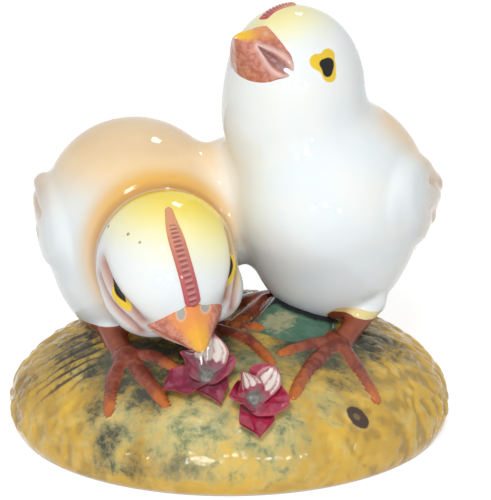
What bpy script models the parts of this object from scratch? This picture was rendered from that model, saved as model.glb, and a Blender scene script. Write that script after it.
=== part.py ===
# Two glazed ceramic chicks on a grassy mound with two applied flowers, fired as one piece.
# Metres, +Z up, front towards -Y. The origin is the middle of the flat underside.
import math

import bmesh
import bpy
from mathutils import Matrix, Vector

# Mound: an oval dome with a short rounded foot
BASE_WIDTH = 0.1206
BASE_DEPTH = 0.0885
MOUND_HEIGHT = 0.030
FOOT_HEIGHT = 0.0055
FOOT_INSET = 0.0018
DOME_POWER = 2.2

# One chick: an egg-shaped body, a lower belly, a thick neck and a ball head
BODY_WIDTH = 0.0510
BODY_LENGTH = 0.0580
BODY_HEIGHT = 0.0530
HEAD_WIDTH = 0.0310
HEAD_LENGTH = 0.0340
HEAD_HEIGHT = 0.0310
WING_LENGTH = 0.0400
WING_HEIGHT = 0.0230
WING_THICKNESS = 0.0080
TAIL_LENGTH = 0.0160
TAIL_WIDTH = 0.0150
TAIL_THICKNESS = 0.0070

# Where wings and tail sit, as shares of the body or of their own thickness, and their turns
WING_SINK = 0.54
WING_BACK = 0.10
WING_SPLAY = 5.0
TAIL_BACK = 0.43
TAIL_UP = 0.10
TAIL_LIFT = 18.0

# Beak: its profile gives the stop along it, the share of its width there and its arch
BEAK_WIDTH = 0.0186
BEAK_HEIGHT = 0.0146
BEAK_DROP = 0.0022
BEAK_PROFILE = (
    (-0.45, 1.02, 0.00),
    (0.00, 1.00, 0.00),
    (0.35, 0.72, 0.05),
    (0.65, 0.42, 0.08),
    (0.88, 0.21, 0.07),
    (1.00, 0.09, 0.03),
)

# Corners of the open mouth: place as shares of the beak's width and drop, then turns
GAPE_LENGTH = 0.0100
GAPE_HEIGHT = 0.0030
GAPE_OUT = 0.35
GAPE_AHEAD = 0.19
GAPE_DROP = 1.4
GAPE_TURN = 33.0
GAPE_TILT = 16.0

# Comb, legs and toes; the tapers are the share of the width lost at the thin end
COMB_WIDTH = 0.0034
COMB_RISE = 0.0010
COMB_FRONT = -72.0
COMB_TAPER = 0.55
COMB_STEPS = 14
SHANK_WIDTH = 0.0072
SHANK_FLARE = (1.5, 1.05, 1.0)
TOE_WIDTH = 0.0052
TOE_RISE = 0.0012
TOE_TAPER = 0.5
TOE_SINK = 0.22
ROCK_ROUNDING = 0.0015

# Flowers; a petal's swell is a sine over the arc given, and it points from PETAL_POINT on
PETAL_LENGTH = 0.0105
PETAL_WIDTH = 0.0080
PETAL_THICKNESS = 0.0016
PETAL_CURL = 0.12
PETAL_CUPPING = 0.12
PETAL_ROOT = 0.30
PETAL_ARC = (0.16, 0.80)
PETAL_POINT = 0.72
PETAL_POINT_TAPER = 0.75
FLOWER_CUP_WIDTH = 0.0060
FLOWER_CUP_HEIGHT = 0.0048

# How finely the clay forms are joined, and how many triangles are kept
JOIN_VOXEL = 0.0012
JOIN_SMOOTHING_STEPS = 14
DETAIL_VOXEL = 0.00075
DETAIL_SMOOTHING_STEPS = 2
KEPT_TRIANGLES = 10600

SHAPES = bpy.data.collections.new("clay_forms")
CUTTERS = bpy.data.collections.new("cutters")


def clear_scene():
    for item in list(bpy.data.objects):
        bpy.data.objects.remove(item)
    figurine = bpy.data.collections.new("ceramic_chicks")
    for collection in (figurine, SHAPES, CUTTERS):
        bpy.context.scene.collection.children.link(collection)
    return figurine


def move_to(item, collection):
    for owner in list(item.users_collection):
        owner.objects.unlink(item)
    collection.objects.link(item)
    return item


def evaluated_copy(item, name, collection=SHAPES):
    """A mesh object with the item's modifiers or curve made real, in the item's place."""
    graph = bpy.context.evaluated_depsgraph_get()
    graph.update()
    mesh = bpy.data.meshes.new_from_object(item.evaluated_get(graph))
    mesh.transform(item.matrix_world)
    work = bmesh.new()
    work.from_mesh(mesh)
    bmesh.ops.remove_doubles(work, verts=work.verts, dist=1e-6)
    work.to_mesh(mesh)
    work.free()
    bpy.data.objects.remove(item)
    made = bpy.data.objects.new(name, mesh)
    collection.objects.link(made)
    return made


def above_mound(point):
    """A point whose height is given above the mound's crown."""
    x, y, rise = point
    return Vector((x, y, MOUND_HEIGHT + rise))


def frame_at(place, yaw=0.0, pitch=0.0):
    """Local axes: -Y looks forward, yaw turns about +Z, pitch tips the nose down."""
    turn = Matrix.Rotation(math.radians(yaw), 4, "Z")
    tip = Matrix.Rotation(math.radians(pitch), 4, "X")
    return Matrix.Translation(above_mound(place)) @ turn @ tip


def ball(name, frame, size, segments=40, rings=28):
    """An ellipsoid of the full size given, in the local axes of frame."""
    bpy.ops.mesh.primitive_uv_sphere_add(segments=segments, ring_count=rings, radius=0.5)
    item = bpy.context.object
    item.name = name
    item.data.transform(frame @ Matrix.Diagonal((*size, 1.0)))
    return move_to(item, SHAPES)


def tapered_rod(name, points, widths, frame=None):
    """A round rod through points in the axes of frame, whose full width changes along it."""
    curve = bpy.data.curves.new(name, "CURVE")
    curve.dimensions = "3D"
    curve.bevel_depth = 0.5
    curve.bevel_resolution = 3
    curve.use_fill_caps = True
    spline = curve.splines.new("POLY")
    spline.points.add(len(points) - 1)
    for knot, point, width in zip(spline.points, points, widths):
        knot.co = (*point, 1.0)
        knot.radius = width
    item = bpy.data.objects.new(name, curve)
    SHAPES.objects.link(item)
    if frame is not None:
        item.matrix_world = frame
    bpy.context.view_layer.update()
    return evaluated_copy(item, name)


def dome_height(x, y):
    """Height of the mound's top over a point of the ground plan."""
    reach = math.hypot(2 * x / BASE_WIDTH, 2 * y / BASE_DEPTH)
    if reach >= 1.0:
        return FOOT_HEIGHT
    rise = (1.0 - reach**DOME_POWER) ** (1.0 / DOME_POWER)
    return FOOT_HEIGHT + (MOUND_HEIGHT - FOOT_HEIGHT) * rise


def on_mound(x, y, lift=0.0):
    return Vector((x, y, dome_height(x, y) + lift))


def mound_normal(x, y):
    step = 0.001
    slope_x = (dome_height(x + step, y) - dome_height(x - step, y)) / (2 * step)
    slope_y = (dome_height(x, y + step) - dome_height(x, y - step)) / (2 * step)
    return Vector((-slope_x, -slope_y, 1.0)).normalized()


def make_mound():
    """The dome's profile, screwed round +Z and squeezed to the oval plan."""
    half = BASE_WIDTH / 2
    steps = 18
    profile = []
    for k in range(steps + 1):
        angle = math.pi / 2 * (1 - k / steps)
        out = half * math.cos(angle) ** (2 / DOME_POWER)
        up = (MOUND_HEIGHT - FOOT_HEIGHT) * math.sin(angle) ** (2 / DOME_POWER)
        profile.append((out, 0.0, FOOT_HEIGHT + up))
    profile.append((half - FOOT_INSET, 0.0, 0.0))
    profile.append((half - 2 * FOOT_INSET, 0.0, -FOOT_HEIGHT))
    profile.append((0.0, 0.0, -FOOT_HEIGHT))
    mesh = bpy.data.meshes.new("mound_profile")
    mesh.from_pydata(profile, [(k, k + 1) for k in range(len(profile) - 1)], [])
    item = bpy.data.objects.new("mound", mesh)
    SHAPES.objects.link(item)
    item.scale = (1.0, BASE_DEPTH / BASE_WIDTH, 1.0)
    screw = item.modifiers.new("round", "SCREW")
    screw.steps = screw.render_steps = 96
    screw.use_merge_vertices = True
    screw.merge_threshold = 1e-5
    bpy.context.view_layer.update()
    return evaluated_copy(item, "mound")


def make_rock(name, foot, crown):
    """A low rock under a belly: the hull of its foot on the mound and its higher crown."""
    work = bmesh.new()
    for x, y in foot:
        work.verts.new(on_mound(x, y, -2 * ROCK_ROUNDING))
        work.verts.new(on_mound(x, y, ROCK_ROUNDING))
    for corner in crown:
        work.verts.new(above_mound(corner))
    bmesh.ops.convex_hull(work, input=work.verts)
    loose = [vert for vert in work.verts if not vert.link_faces]
    bmesh.ops.delete(work, geom=loose, context="VERTS")
    bmesh.ops.recalc_face_normals(work, faces=work.faces)
    mesh = bpy.data.meshes.new(name)
    work.to_mesh(mesh)
    work.free()
    item = bpy.data.objects.new(name, mesh)
    SHAPES.objects.link(item)
    bevel = item.modifiers.new("rounding", "BEVEL")
    bevel.width = ROCK_ROUNDING
    bevel.segments = 2
    return evaluated_copy(item, name)


def make_body(name, chick):
    """Body, belly, neck, head, wings and tail of one chick, as overlapping balls."""
    frame = frame_at(chick["place"], chick["yaw"], chick["body_pitch"])
    level = frame_at(chick["place"], chick["yaw"])
    size = Vector((BODY_WIDTH, BODY_LENGTH, BODY_HEIGHT))
    forms = [ball(f"{name}_body", frame, size)]

    belly = level @ Matrix.Translation(Vector(chick["belly"]))
    forms.append(ball(f"{name}_belly", belly, chick["belly_size"]))

    neck = frame_at(chick["neck"], chick["yaw"])
    forms.append(ball(f"{name}_neck", neck, chick["neck_size"]))

    head = frame_at(chick["head"], chick["head_yaw"], chick["head_pitch"])
    grown = chick["head_scale"]
    size = Vector((HEAD_WIDTH, HEAD_LENGTH, HEAD_HEIGHT)) * grown
    forms.append(ball(f"{name}_head", head, size))

    for side in (-1, 1):
        out = BODY_WIDTH / 2 - WING_THICKNESS * WING_SINK
        back = BODY_LENGTH * WING_BACK
        wing = frame @ Matrix.Translation((side * out, back, chick["wing_rise"]))
        wing = wing @ Matrix.Rotation(math.radians(side * WING_SPLAY), 4, "Z")
        forms.append(ball(f"{name}_wing", wing, (WING_THICKNESS, WING_LENGTH, WING_HEIGHT)))

    tail = frame @ Matrix.Translation((0, BODY_LENGTH * TAIL_BACK, BODY_HEIGHT * TAIL_UP))
    tail = tail @ Matrix.Rotation(math.radians(TAIL_LIFT), 4, "X")
    forms.append(ball(f"{name}_tail", tail, (TAIL_WIDTH, TAIL_LENGTH, TAIL_THICKNESS)))
    return forms


def make_beak(name, chick):
    """A short broad cone whose rounded base sits in the front of the head."""
    head = frame_at(chick["head"], chick["head_yaw"], chick["head_pitch"])
    base = chick["beak_base"]
    reach = chick["beak_tip"] - base
    local = head @ Matrix.Translation((0.0, -base, -BEAK_DROP))
    local = local @ Matrix.Diagonal((1.0, 1.0, BEAK_HEIGHT / BEAK_WIDTH, 1.0))
    points = [(0.0, -reach * stop, reach * arch) for stop, _, arch in BEAK_PROFILE]
    widths = [BEAK_WIDTH * share for _, share, _ in BEAK_PROFILE]
    return [tapered_rod(f"{name}_beak", points, widths, local)]


def make_gape_cutters(chick):
    """A leaf-shaped hollow at each corner of the open mouth."""
    head = frame_at(chick["head"], chick["head_yaw"], chick["head_pitch"])
    ahead = chick["beak_base"] + BEAK_WIDTH * GAPE_AHEAD
    cutters = []
    for side in (-1, 1):
        place = (side * BEAK_WIDTH * GAPE_OUT, -ahead, -BEAK_DROP * GAPE_DROP)
        slot = head @ Matrix.Translation(place)
        slot = slot @ Matrix.Rotation(math.radians(-side * GAPE_TURN), 4, "Z")
        slot = slot @ Matrix.Rotation(math.radians(-GAPE_TILT), 4, "X")
        cutter = ball("gape_cutter", slot, (GAPE_HEIGHT, GAPE_LENGTH, GAPE_HEIGHT), 16, 12)
        cutter.hide_render = True
        cutter.display_type = "WIRE"
        cutters.append(move_to(cutter, CUTTERS))
    return cutters


def make_comb(name, chick):
    """A low fleshy ridge along the middle of the head, from the beak to the crown."""
    head = frame_at(chick["head"], chick["head_yaw"], chick["head_pitch"])
    grown = chick["head_scale"]
    points, widths = [], []
    for k in range(COMB_STEPS + 1):
        share = k / COMB_STEPS
        angle = math.radians(COMB_FRONT + (chick["comb_back"] - COMB_FRONT) * share)
        up = (HEAD_HEIGHT / 2 * grown + COMB_RISE - COMB_WIDTH / 2) * math.cos(angle)
        along = (HEAD_LENGTH / 2 * grown + COMB_RISE - COMB_WIDTH / 2) * math.sin(angle)
        points.append((0.0, along, up))
        widths.append(COMB_WIDTH * (1.0 - COMB_TAPER * share**3))
    return [tapered_rod(f"{name}_comb", points, widths, head)]


def make_foot(name, shank, toes):
    """A shank down to the mound, and toes that lie on it as tapered ridges."""
    knuckle = on_mound(*shank["joint"], TOE_RISE)
    widths = [SHANK_WIDTH * flare for flare in SHANK_FLARE]
    start = above_mound(shank["top"])
    forms = [tapered_rod(f"{name}_shank", [start, start.lerp(knuckle, 0.5), knuckle], widths)]
    for number, stops in enumerate(toes):
        ends = [shank["joint"], *stops]
        path = [Vector(a).lerp(Vector(b), t) for a, b in zip(ends, ends[1:]) for t in (0, 0.5)]
        path.append(Vector(ends[-1]))
        points, widths = [], []
        for k, place in enumerate(path):
            share = k / (len(path) - 1)
            points.append(on_mound(*place, TOE_RISE - TOE_WIDTH * TOE_SINK * share))
            widths.append(TOE_WIDTH * (1.0 - TOE_TAPER * share**3))
        forms.append(tapered_rod(f"{name}_toe_{number}", points, widths))
    return forms


def make_petal(name, frame):
    """A pointed, cupped petal: a grid shaped by its width along the length, then thickened."""
    work = bmesh.new()
    bmesh.ops.create_grid(work, x_segments=8, y_segments=10, size=0.5)
    for vert in work.verts:
        along = vert.co.y + 0.5
        side = vert.co.x * 2
        arc = PETAL_ARC[0] + PETAL_ARC[1] * along
        swell = PETAL_ROOT + (1.0 - PETAL_ROOT) * math.sin(math.pi * min(1.0, arc)) ** 0.8
        swell *= 1.0 - PETAL_POINT_TAPER * max(0.0, along - PETAL_POINT) / (1.0 - PETAL_POINT)
        rise = PETAL_CURL * along**1.6 + PETAL_CUPPING * side * side * swell
        vert.co = (side * swell * PETAL_WIDTH / 2, along * PETAL_LENGTH, rise * PETAL_LENGTH)
    bmesh.ops.recalc_face_normals(work, faces=work.faces)
    mesh = bpy.data.meshes.new(name)
    work.to_mesh(mesh)
    work.free()
    item = bpy.data.objects.new(name, mesh)
    item.matrix_world = frame
    SHAPES.objects.link(item)
    thick = item.modifiers.new("wall", "SOLIDIFY")
    thick.thickness = PETAL_THICKNESS
    thick.offset = 0.0
    bpy.context.view_layer.update()
    return evaluated_copy(item, name)


def make_flower(name, flower):
    """Five petals round a small cup, seated square on the slope of the mound."""
    x, y = flower["place"]
    up = mound_normal(x, y)
    across = (Vector((1.0, 0.0, 0.0)) - up * up.x).normalized()
    turn = Matrix((across, up.cross(across), up)).transposed().to_4x4()
    seat = Matrix.Translation(on_mound(x, y, PETAL_THICKNESS * 0.8)) @ turn
    cup = (FLOWER_CUP_WIDTH, FLOWER_CUP_WIDTH, FLOWER_CUP_HEIGHT)
    forms = [ball(f"{name}_cup", seat, cup, 16, 12)]
    for turned, rise in flower["petals"]:
        spin = Matrix.Rotation(math.radians(turned), 4, "Z")
        tip = Matrix.Rotation(math.radians(rise), 4, "X")
        forms.append(make_petal(f"{name}_petal", seat @ spin @ tip))
    return forms


def joined(forms, name):
    """One mesh object that holds every shell of the forms."""
    work = bmesh.new()
    for item in forms:
        work.from_mesh(item.data)
    mesh = bpy.data.meshes.new(name)
    work.to_mesh(mesh)
    work.free()
    for item in forms:
        bpy.data.objects.remove(item)
    made = bpy.data.objects.new(name, mesh)
    SHAPES.objects.link(made)
    return made


def add_remesh(item, voxel, smoothing):
    """Fuses overlapping shells into one skin, and rounds the joins as wet clay would be."""
    fuse = item.modifiers.new("fuse", "REMESH")
    fuse.mode = "VOXEL"
    fuse.voxel_size = voxel
    soften = item.modifiers.new("soften", "SMOOTH")
    soften.factor = 0.5
    soften.iterations = smoothing


def make_underside_cutter():
    """The block below z = 0 that cuts the foot flat; it reaches well past the mound."""
    deep = 4 * FOOT_HEIGHT
    past = BASE_DEPTH / 2
    bpy.ops.mesh.primitive_cube_add(size=1)
    cutter = bpy.context.object
    cutter.name = "underside_cutter"
    cutter.data.transform(Matrix.Diagonal((BASE_WIDTH + past, BASE_DEPTH + past, deep, 1.0)))
    cutter.data.transform(Matrix.Translation((0, 0, -deep / 2)))
    cutter.hide_render = True
    cutter.display_type = "WIRE"
    return move_to(cutter, CUTTERS)


def add_cut(item, cutter):
    cut = item.modifiers.new(cutter.name, "BOOLEAN")
    cut.operation = "DIFFERENCE"
    cut.solver = "EXACT"
    cut.object = cutter


def glaze():
    made = bpy.data.materials.new("glazed_ceramic")
    made.use_nodes = True
    shader = made.node_tree.nodes["Principled BSDF"]
    shader.inputs["Base Color"].default_value = (0.86, 0.84, 0.78, 1.0)
    shader.inputs["Roughness"].default_value = 0.08
    shader.inputs["Metallic"].default_value = 0.0
    return made


# In what follows, a third coordinate is a height above the mound's crown, except that a
# belly's place is local to its body.
# The chick that stands at the right and looks up
STANDING = {
    "place": (0.0270, 0.0105, 0.0310),
    "yaw": -30.0,
    "body_pitch": -25.0,
    "belly": (0.0, -0.0010, -0.0150),
    "belly_size": (0.0420, 0.0385, 0.0440),
    "wing_rise": 0.0020,
    "neck": (0.0166, 0.0060, 0.0550),
    "neck_size": (0.0372, 0.0360, 0.0440),
    "head": (0.0170, 0.0040, 0.0675),
    "head_yaw": -43.0,
    "head_pitch": -32.0,
    "head_scale": 0.98,
    "beak_base": 0.0138,
    "beak_tip": 0.0247,
    "comb_back": 8.0,
}

# The chick that bends down at the left and pecks
PECKING = {
    "place": (-0.0247, 0.0150, 0.0228),
    "yaw": 24.0,
    "body_pitch": 10.0,
    "belly": (-0.0034, -0.0036, -0.0135),
    "belly_size": (0.0400, 0.0400, 0.0380),
    "wing_rise": -0.0020,
    "neck": (-0.0192, 0.0010, 0.0210),
    "neck_size": (0.0380, 0.0360, 0.0360),
    "head": (-0.0160, -0.0110, 0.0205),
    "head_yaw": 23.5,
    "head_pitch": 29.0,
    "head_scale": 1.13,
    "beak_base": 0.0155,
    "beak_tip": 0.0290,
    "comb_back": 16.0,
}

# The web of clay that joins the two chicks' sides above the gap
WEB_PLACE = (-0.0005, 0.0130, 0.0275)
WEB_SIZE = (0.0200, 0.0260, 0.0350)

# Feet: where the shank leaves the body, the joint on the mound, and each toe's stops
FEET = {
    "standing_left": (
        {"top": (0.0325, 0.0020, 0.0030), "joint": (0.0290, -0.0085)},
        [
            [(0.0205, -0.0135), (0.0125, -0.0185)],
            [(0.0205, -0.0230), (0.0163, -0.0315)],
            [(0.0335, -0.0200), (0.0375, -0.0265)],
        ],
    ),
    "standing_right": (
        {"top": (0.0165, 0.0150, 0.0040), "joint": (0.0120, 0.0145)},
        [
            [(0.0045, 0.0095), (-0.0015, 0.0035)],
            [(0.0070, 0.0040), (0.0010, -0.0070)],
        ],
    ),
    "pecking_right": (
        {"top": (-0.0340, 0.0020, 0.0000), "joint": (-0.0265, -0.0165)},
        [
            [(-0.0290, -0.0240), (-0.0297, -0.0322)],
            [(-0.0205, -0.0265), (-0.0155, -0.0335)],
            [(-0.0190, -0.0190), (-0.0137, -0.0237)],
        ],
    ),
    "pecking_left": (
        {"top": (-0.0120, 0.0060, 0.0040), "joint": (-0.0060, -0.0075)},
        [
            [(0.0040, -0.0125), (0.0110, -0.0222)],
            [(-0.0040, -0.0150), (-0.0050, -0.0215)],
            [(0.0020, -0.0060), (0.0080, -0.0085)],
        ],
    ),
}

# Rocks that hold the bellies up between the feet: plan of the foot, then crown corners
ROCKS = {
    "rock_standing": (
        [
            (0.0030, -0.0098),
            (0.0159, -0.0152),
            (0.0265, -0.0097),
            (0.0307, 0.0036),
            (0.0280, 0.0160),
            (0.0080, 0.0140),
        ],
        [
            (0.0123, 0.0030, 0.0042),
            (0.0189, 0.0000, 0.0041),
            (0.0231, -0.0010, 0.0025),
            (0.0290, 0.0020, 0.0008),
        ],
    ),
    "rock_pecking": (
        [
            (-0.0310, 0.0000),
            (-0.0290, 0.0200),
            (-0.0140, 0.0220),
            (-0.0120, -0.0020),
        ],
        [
            (-0.0270, 0.0040, 0.0040),
            (-0.0250, 0.0160, 0.0040),
            (-0.0160, 0.0160, 0.0040),
            (-0.0160, 0.0030, 0.0040),
        ],
    ),
}

# Flowers: the place on the mound, and each petal's turn from the back and its rise, in degrees
FLOWERS = {
    "flower_left": {
        "place": (-0.0053, -0.0286),
        "petals": [(50.0, 38.0), (-20.0, 40.0), (-85.0, 26.0), (-156.0, 0.0), (114.0, 2.0)],
    },
    "flower_right": {
        "place": (0.0060, -0.0330),
        "petals": [(8.0, 55.0), (-52.0, 36.0), (-118.0, 6.0), (-172.0, -2.0), (100.0, 30.0)],
    },
}


def main():
    figurine = clear_scene()
    masses = [make_mound()]
    for name, (foot, crown) in ROCKS.items():
        masses.append(make_rock(name, foot, crown))
    masses.append(ball("web", frame_at(WEB_PLACE), WEB_SIZE))
    for name, chick in (("standing", STANDING), ("pecking", PECKING)):
        masses += make_body(name, chick)
    clay = joined(masses, "clay")
    add_remesh(clay, JOIN_VOXEL, JOIN_SMOOTHING_STEPS)
    details = [evaluated_copy(clay, "clay_skin")]

    for name, chick in (("standing", STANDING), ("pecking", PECKING)):
        details += make_beak(name, chick)
        details += make_comb(name, chick)
    for name, (shank, toes) in FEET.items():
        details += make_foot(name, shank, toes)
    for name, flower in FLOWERS.items():
        details += make_flower(name, flower)
    whole = joined(details, "detailed")
    add_remesh(whole, DETAIL_VOXEL, DETAIL_SMOOTHING_STEPS)
    whole = evaluated_copy(whole, "ceramic_chicks", figurine)

    triangles = sum(len(face.vertices) - 2 for face in whole.data.polygons)
    thin = whole.modifiers.new("fewer_faces", "DECIMATE")
    thin.ratio = min(1.0, KEPT_TRIANGLES / triangles)
    whole = evaluated_copy(whole, "ceramic_chicks", figurine)
    for cutter in [make_underside_cutter(), *make_gape_cutters(STANDING)]:
        add_cut(whole, cutter)
    whole.data.materials.append(glaze())
    whole.data.shade_smooth()


main()
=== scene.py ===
import math

import bpy
import numpy as np
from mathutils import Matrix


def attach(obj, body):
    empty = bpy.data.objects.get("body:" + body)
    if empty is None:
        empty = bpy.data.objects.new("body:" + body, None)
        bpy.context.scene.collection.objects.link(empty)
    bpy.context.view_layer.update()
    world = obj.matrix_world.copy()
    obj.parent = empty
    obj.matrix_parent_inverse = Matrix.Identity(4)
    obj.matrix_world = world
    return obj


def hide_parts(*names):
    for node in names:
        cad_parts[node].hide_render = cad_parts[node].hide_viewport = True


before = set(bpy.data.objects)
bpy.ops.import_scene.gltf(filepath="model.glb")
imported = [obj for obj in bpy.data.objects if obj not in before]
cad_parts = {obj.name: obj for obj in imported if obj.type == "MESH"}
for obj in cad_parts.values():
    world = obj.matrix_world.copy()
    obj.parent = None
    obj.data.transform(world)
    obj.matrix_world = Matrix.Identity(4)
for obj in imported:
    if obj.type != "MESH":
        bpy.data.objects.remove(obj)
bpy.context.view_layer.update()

# Shapes are worked out in millimetres in the frame of the CAD model, and scaled once
millimetre = 0.001
crownHeight = 30.0

# The photograph's view: degrees down, distance and aim in millimetres, and focal length
view = {"downAngle": 22.0, "distance": 400.0, "target": (4.4, 0.0, 49.0), "focal": 109.73}


# Helpers for fields and lines

def turned(yaw, pitch=0.0, roll=0.0):
    # Columns are local axes: roll about the nose's line, then the nose (-Y) tipped down, then yaw
    y, p, r = np.radians((yaw, pitch, roll))
    aboutZ = np.array([[np.cos(y), -np.sin(y), 0], [np.sin(y), np.cos(y), 0], [0, 0, 1]])
    aboutX = np.array([[1, 0, 0], [0, np.cos(p), -np.sin(p)], [0, np.sin(p), np.cos(p)]])
    aboutY = np.array([[np.cos(r), 0, -np.sin(r)], [0, 1, 0], [np.sin(r), 0, np.cos(r)]])
    return aboutZ @ aboutX @ aboutY


def smoothMin(a, b, reach):
    # The lesser of two values, rounded where they differ by less than reach
    overlap = np.clip(1 - np.abs(a - b) / reach, 0, 1)
    return np.minimum(a, b) - overlap * overlap * reach / 4


def step(low, high, value):
    # 0 at low, 1 at high and a smooth S between; it falls where low is above high
    share = np.clip((value - low) / (high - low), 0, 1)
    return share * share * (3 - 2 * share)


def cloud(points, size, seed):
    # Value noise from -1 to 1: random values on a lattice, blended smoothly between its points
    table = np.random.default_rng(seed).uniform(-1, 1, (32, 32, 32))
    cell = points / size
    low = np.floor(cell).astype(int)
    share = cell - low
    share = share * share * (3 - 2 * share)
    total = 0
    for corner in np.ndindex(2, 2, 2):
        weight = np.prod(np.where(corner, share, 1 - share), axis=-1)
        at = (low + corner) % 32
        total = total + weight * table[at[..., 0], at[..., 1], at[..., 2]]
    return total


def ballField(points, centre, axes, size):
    # Near distance to an ellipsoid: k0 (k0 - 1) / k1 with k0 = |q / r| and k1 = |q / r^2|
    local = (points - centre) @ axes
    radii = np.asarray(size) / 2
    first = np.linalg.norm(local / radii, axis=-1)
    second = np.linalg.norm(local / radii**2, axis=-1)
    return first * (first - 1) / np.maximum(second, 1e-6)


def alongPath(points, knots):
    # Distance to a bent line, and the share of the line's length at its nearest point
    knots = np.asarray(knots, dtype=float)
    lengths = np.linalg.norm(np.diff(knots, axis=0), axis=1)
    starts = np.concatenate([[0], np.cumsum(lengths)])
    best = np.full(len(points), 1e9)
    share = np.zeros(len(points))
    for k, length in enumerate(lengths):
        run = (knots[k + 1] - knots[k]) / length
        t = np.clip((points - knots[k]) @ run, 0, length)
        away = np.linalg.norm(points - knots[k] - t[:, None] * run, axis=1)
        nearer = away < best
        best = np.where(nearer, away, best)
        share = np.where(nearer, (starts[k] + t) / starts[-1], share)
    return best, share


def rounded(knots, count=24):
    # A smooth line through knots: Catmull-Rom pieces read at even parameters
    knots = np.asarray(knots, dtype=float)
    ends = np.vstack([2 * knots[0] - knots[1], knots, 2 * knots[-1] - knots[-2]])
    t = np.linspace(0, len(knots) - 1, count)
    k = np.minimum(t.astype(int), len(knots) - 2)
    u = (t - k)[:, None]
    a, b, c, d = ends[k], ends[k + 1], ends[k + 2], ends[k + 3]
    return 0.5 * (2 * b + (c - a) * u + (2 * a - 5 * b + 4 * c - d) * u**2 + (3 * b - a - 3 * c + d) * u**3)


# Helpers for meshes

def putMesh(name, points, faces, marks=None):
    # One object at the origin, with its place in its mesh and its marks as vertex attributes
    mesh = bpy.data.meshes.new(name)
    mesh.from_pydata((np.asarray(points) * millimetre).tolist(), [], faces)
    mesh.shade_smooth()
    for mark, values in (marks or {}).items():
        layer = mesh.attributes.new(mark, "FLOAT", "POINT")
        layer.data.foreach_set("value", np.asarray(values, dtype=np.float32))
    item = bpy.data.objects.new(name, mesh)
    bpy.context.scene.collection.objects.link(item)
    return item


def closedShell(rings, poles, first=0):
    # Rings stacked from one pole to the other: quads between rings and a fan at each pole
    count, around = rings.shape[:2]
    index = np.arange(count * around).reshape(count, around) + first
    right = np.roll(index, -1, axis=1)
    quads = np.stack([index[:-1], right[:-1], right[1:], index[1:]], axis=-1).reshape(-1, 4)
    low = np.full(around, first + count * around)
    fans = np.concatenate([
        np.stack([low, right[0], index[0]], axis=-1),
        np.stack([low + 1, index[-1], right[-1]], axis=-1),
    ])
    points = np.concatenate([rings.reshape(-1, 3), np.asarray(poles, dtype=float)])
    return points, quads.tolist() + fans.tolist()


def ballSurface(centre, axes, size, first):
    # Ellipsoid: (cos u cos v, sin u cos v, sin v) times the half sizes, in the local axes
    u = np.linspace(0, 2 * np.pi, 48, endpoint=False)[None, :]
    v = np.linspace(-np.pi / 2, np.pi / 2, 33)[1:-1, None]
    unit = np.stack([np.cos(u) * np.cos(v), np.sin(u) * np.cos(v), np.sin(v) + 0 * u], axis=-1)
    half = np.asarray(size) / 2
    rings = (unit * half) @ axes.T + centre
    poles = (np.array([[0, 0, -1], [0, 0, 1]]) * half) @ axes.T + centre
    return closedShell(rings, poles, first)


# The chicks' bodies

# Places are in millimetres. A rise is above the mound's crown, a belly's place is in the level
# axes, and each feather has its tip's place in the body's axes, for the left side, and its angle
chickSizes = {
    "body": (51.0, 58.0, 53.0),
    "head": (31.0, 34.0, 31.0),
    "shoulder": (8.6, 31.0, 22.0),
    "feather": (5.4, 24.0, 9.6),
    "tail": (9.0, 18.0, 5.6),
    "shoulderPlace": (21.2, 2.6), "shoulderTurn": 5.0,
    "featherTurn": 8.0, "featherBack": 0.48,
    "tailPlace": (0.7, 24.5, 5.3), "tailLift": 18.0,
    "joinReach": 6.0, "shoulderReach": 2.4, "featherReach": 1.3, "chickReach": 4.0,
    "skinVoxel": 0.68, "settleRounds": 5,
}
standing = {
    "place": (27.0, 10.5, 31.0), "yaw": -30.0, "bodyPitch": -25.0,
    "belly": (0.0, -1.0, -14.2), "bellySize": (42.0, 37.6, 41.6),
    "neck": (16.6, 6.0, 55.0), "neckSize": (37.2, 36.0, 44.0),
    "head": (17.0, 4.0, 67.5), "headYaw": -43.0, "headPitch": -32.0, "headScale": 0.98,
    "neckReach": 6.0, "headReach": 7.0, "wingRise": 2.0, "backEdge": (-2.0, 24.0), "backLean": 0.7,
    "feathers": [((20.4, 21.4, 7.6), 8.0), ((18.6, 25.2, -1.2), -12.0), ((18.2, 20.5, -9.0), -26.0)],
}
pecking = {
    "place": (-24.7, 15.0, 22.8), "yaw": 24.0, "bodyPitch": 10.0,
    "belly": (-3.4, -3.6, -13.5), "bellySize": (40.0, 40.0, 38.0),
    "neck": (-19.2, 1.0, 21.0), "neckSize": (38.0, 36.0, 36.0),
    "head": (-16.0, -11.0, 20.5), "headYaw": 23.5, "headPitch": 29.0, "headScale": 1.13,
    "neckReach": 6.0, "headReach": 1.6, "wingRise": -2.0, "backEdge": (3.0, 25.0), "backLean": 0.25,
    "feathers": [((20.8, 19.4, 4.4), 4.0), ((19.6, 23.4, -2.8), -12.0), ((18.6, 19.6, -9.4), -26.0)],
}
# Tail feathers: each one's place to the side and its fan angle
tailFeathers = [(-4.6, -14.0), (4.6, 14.0), (0.0, 0.0)]
web = {"place": (-0.5, 13.0, 27.5), "size": (20.0, 26.0, 35.0), "reach": 6.0}
collar = {"depth": 0.9, "width": 1.5, "shade": 5.0}


def lifted(place):
    # A place whose height is a rise above the mound's crown
    return np.array([place[0], place[1], crownHeight + place[2]])


def faceOf(chick):
    # The centre and axes of a chick's head
    return {"centre": lifted(chick["head"]), "axes": turned(chick["headYaw"], chick["headPitch"])}


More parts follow.
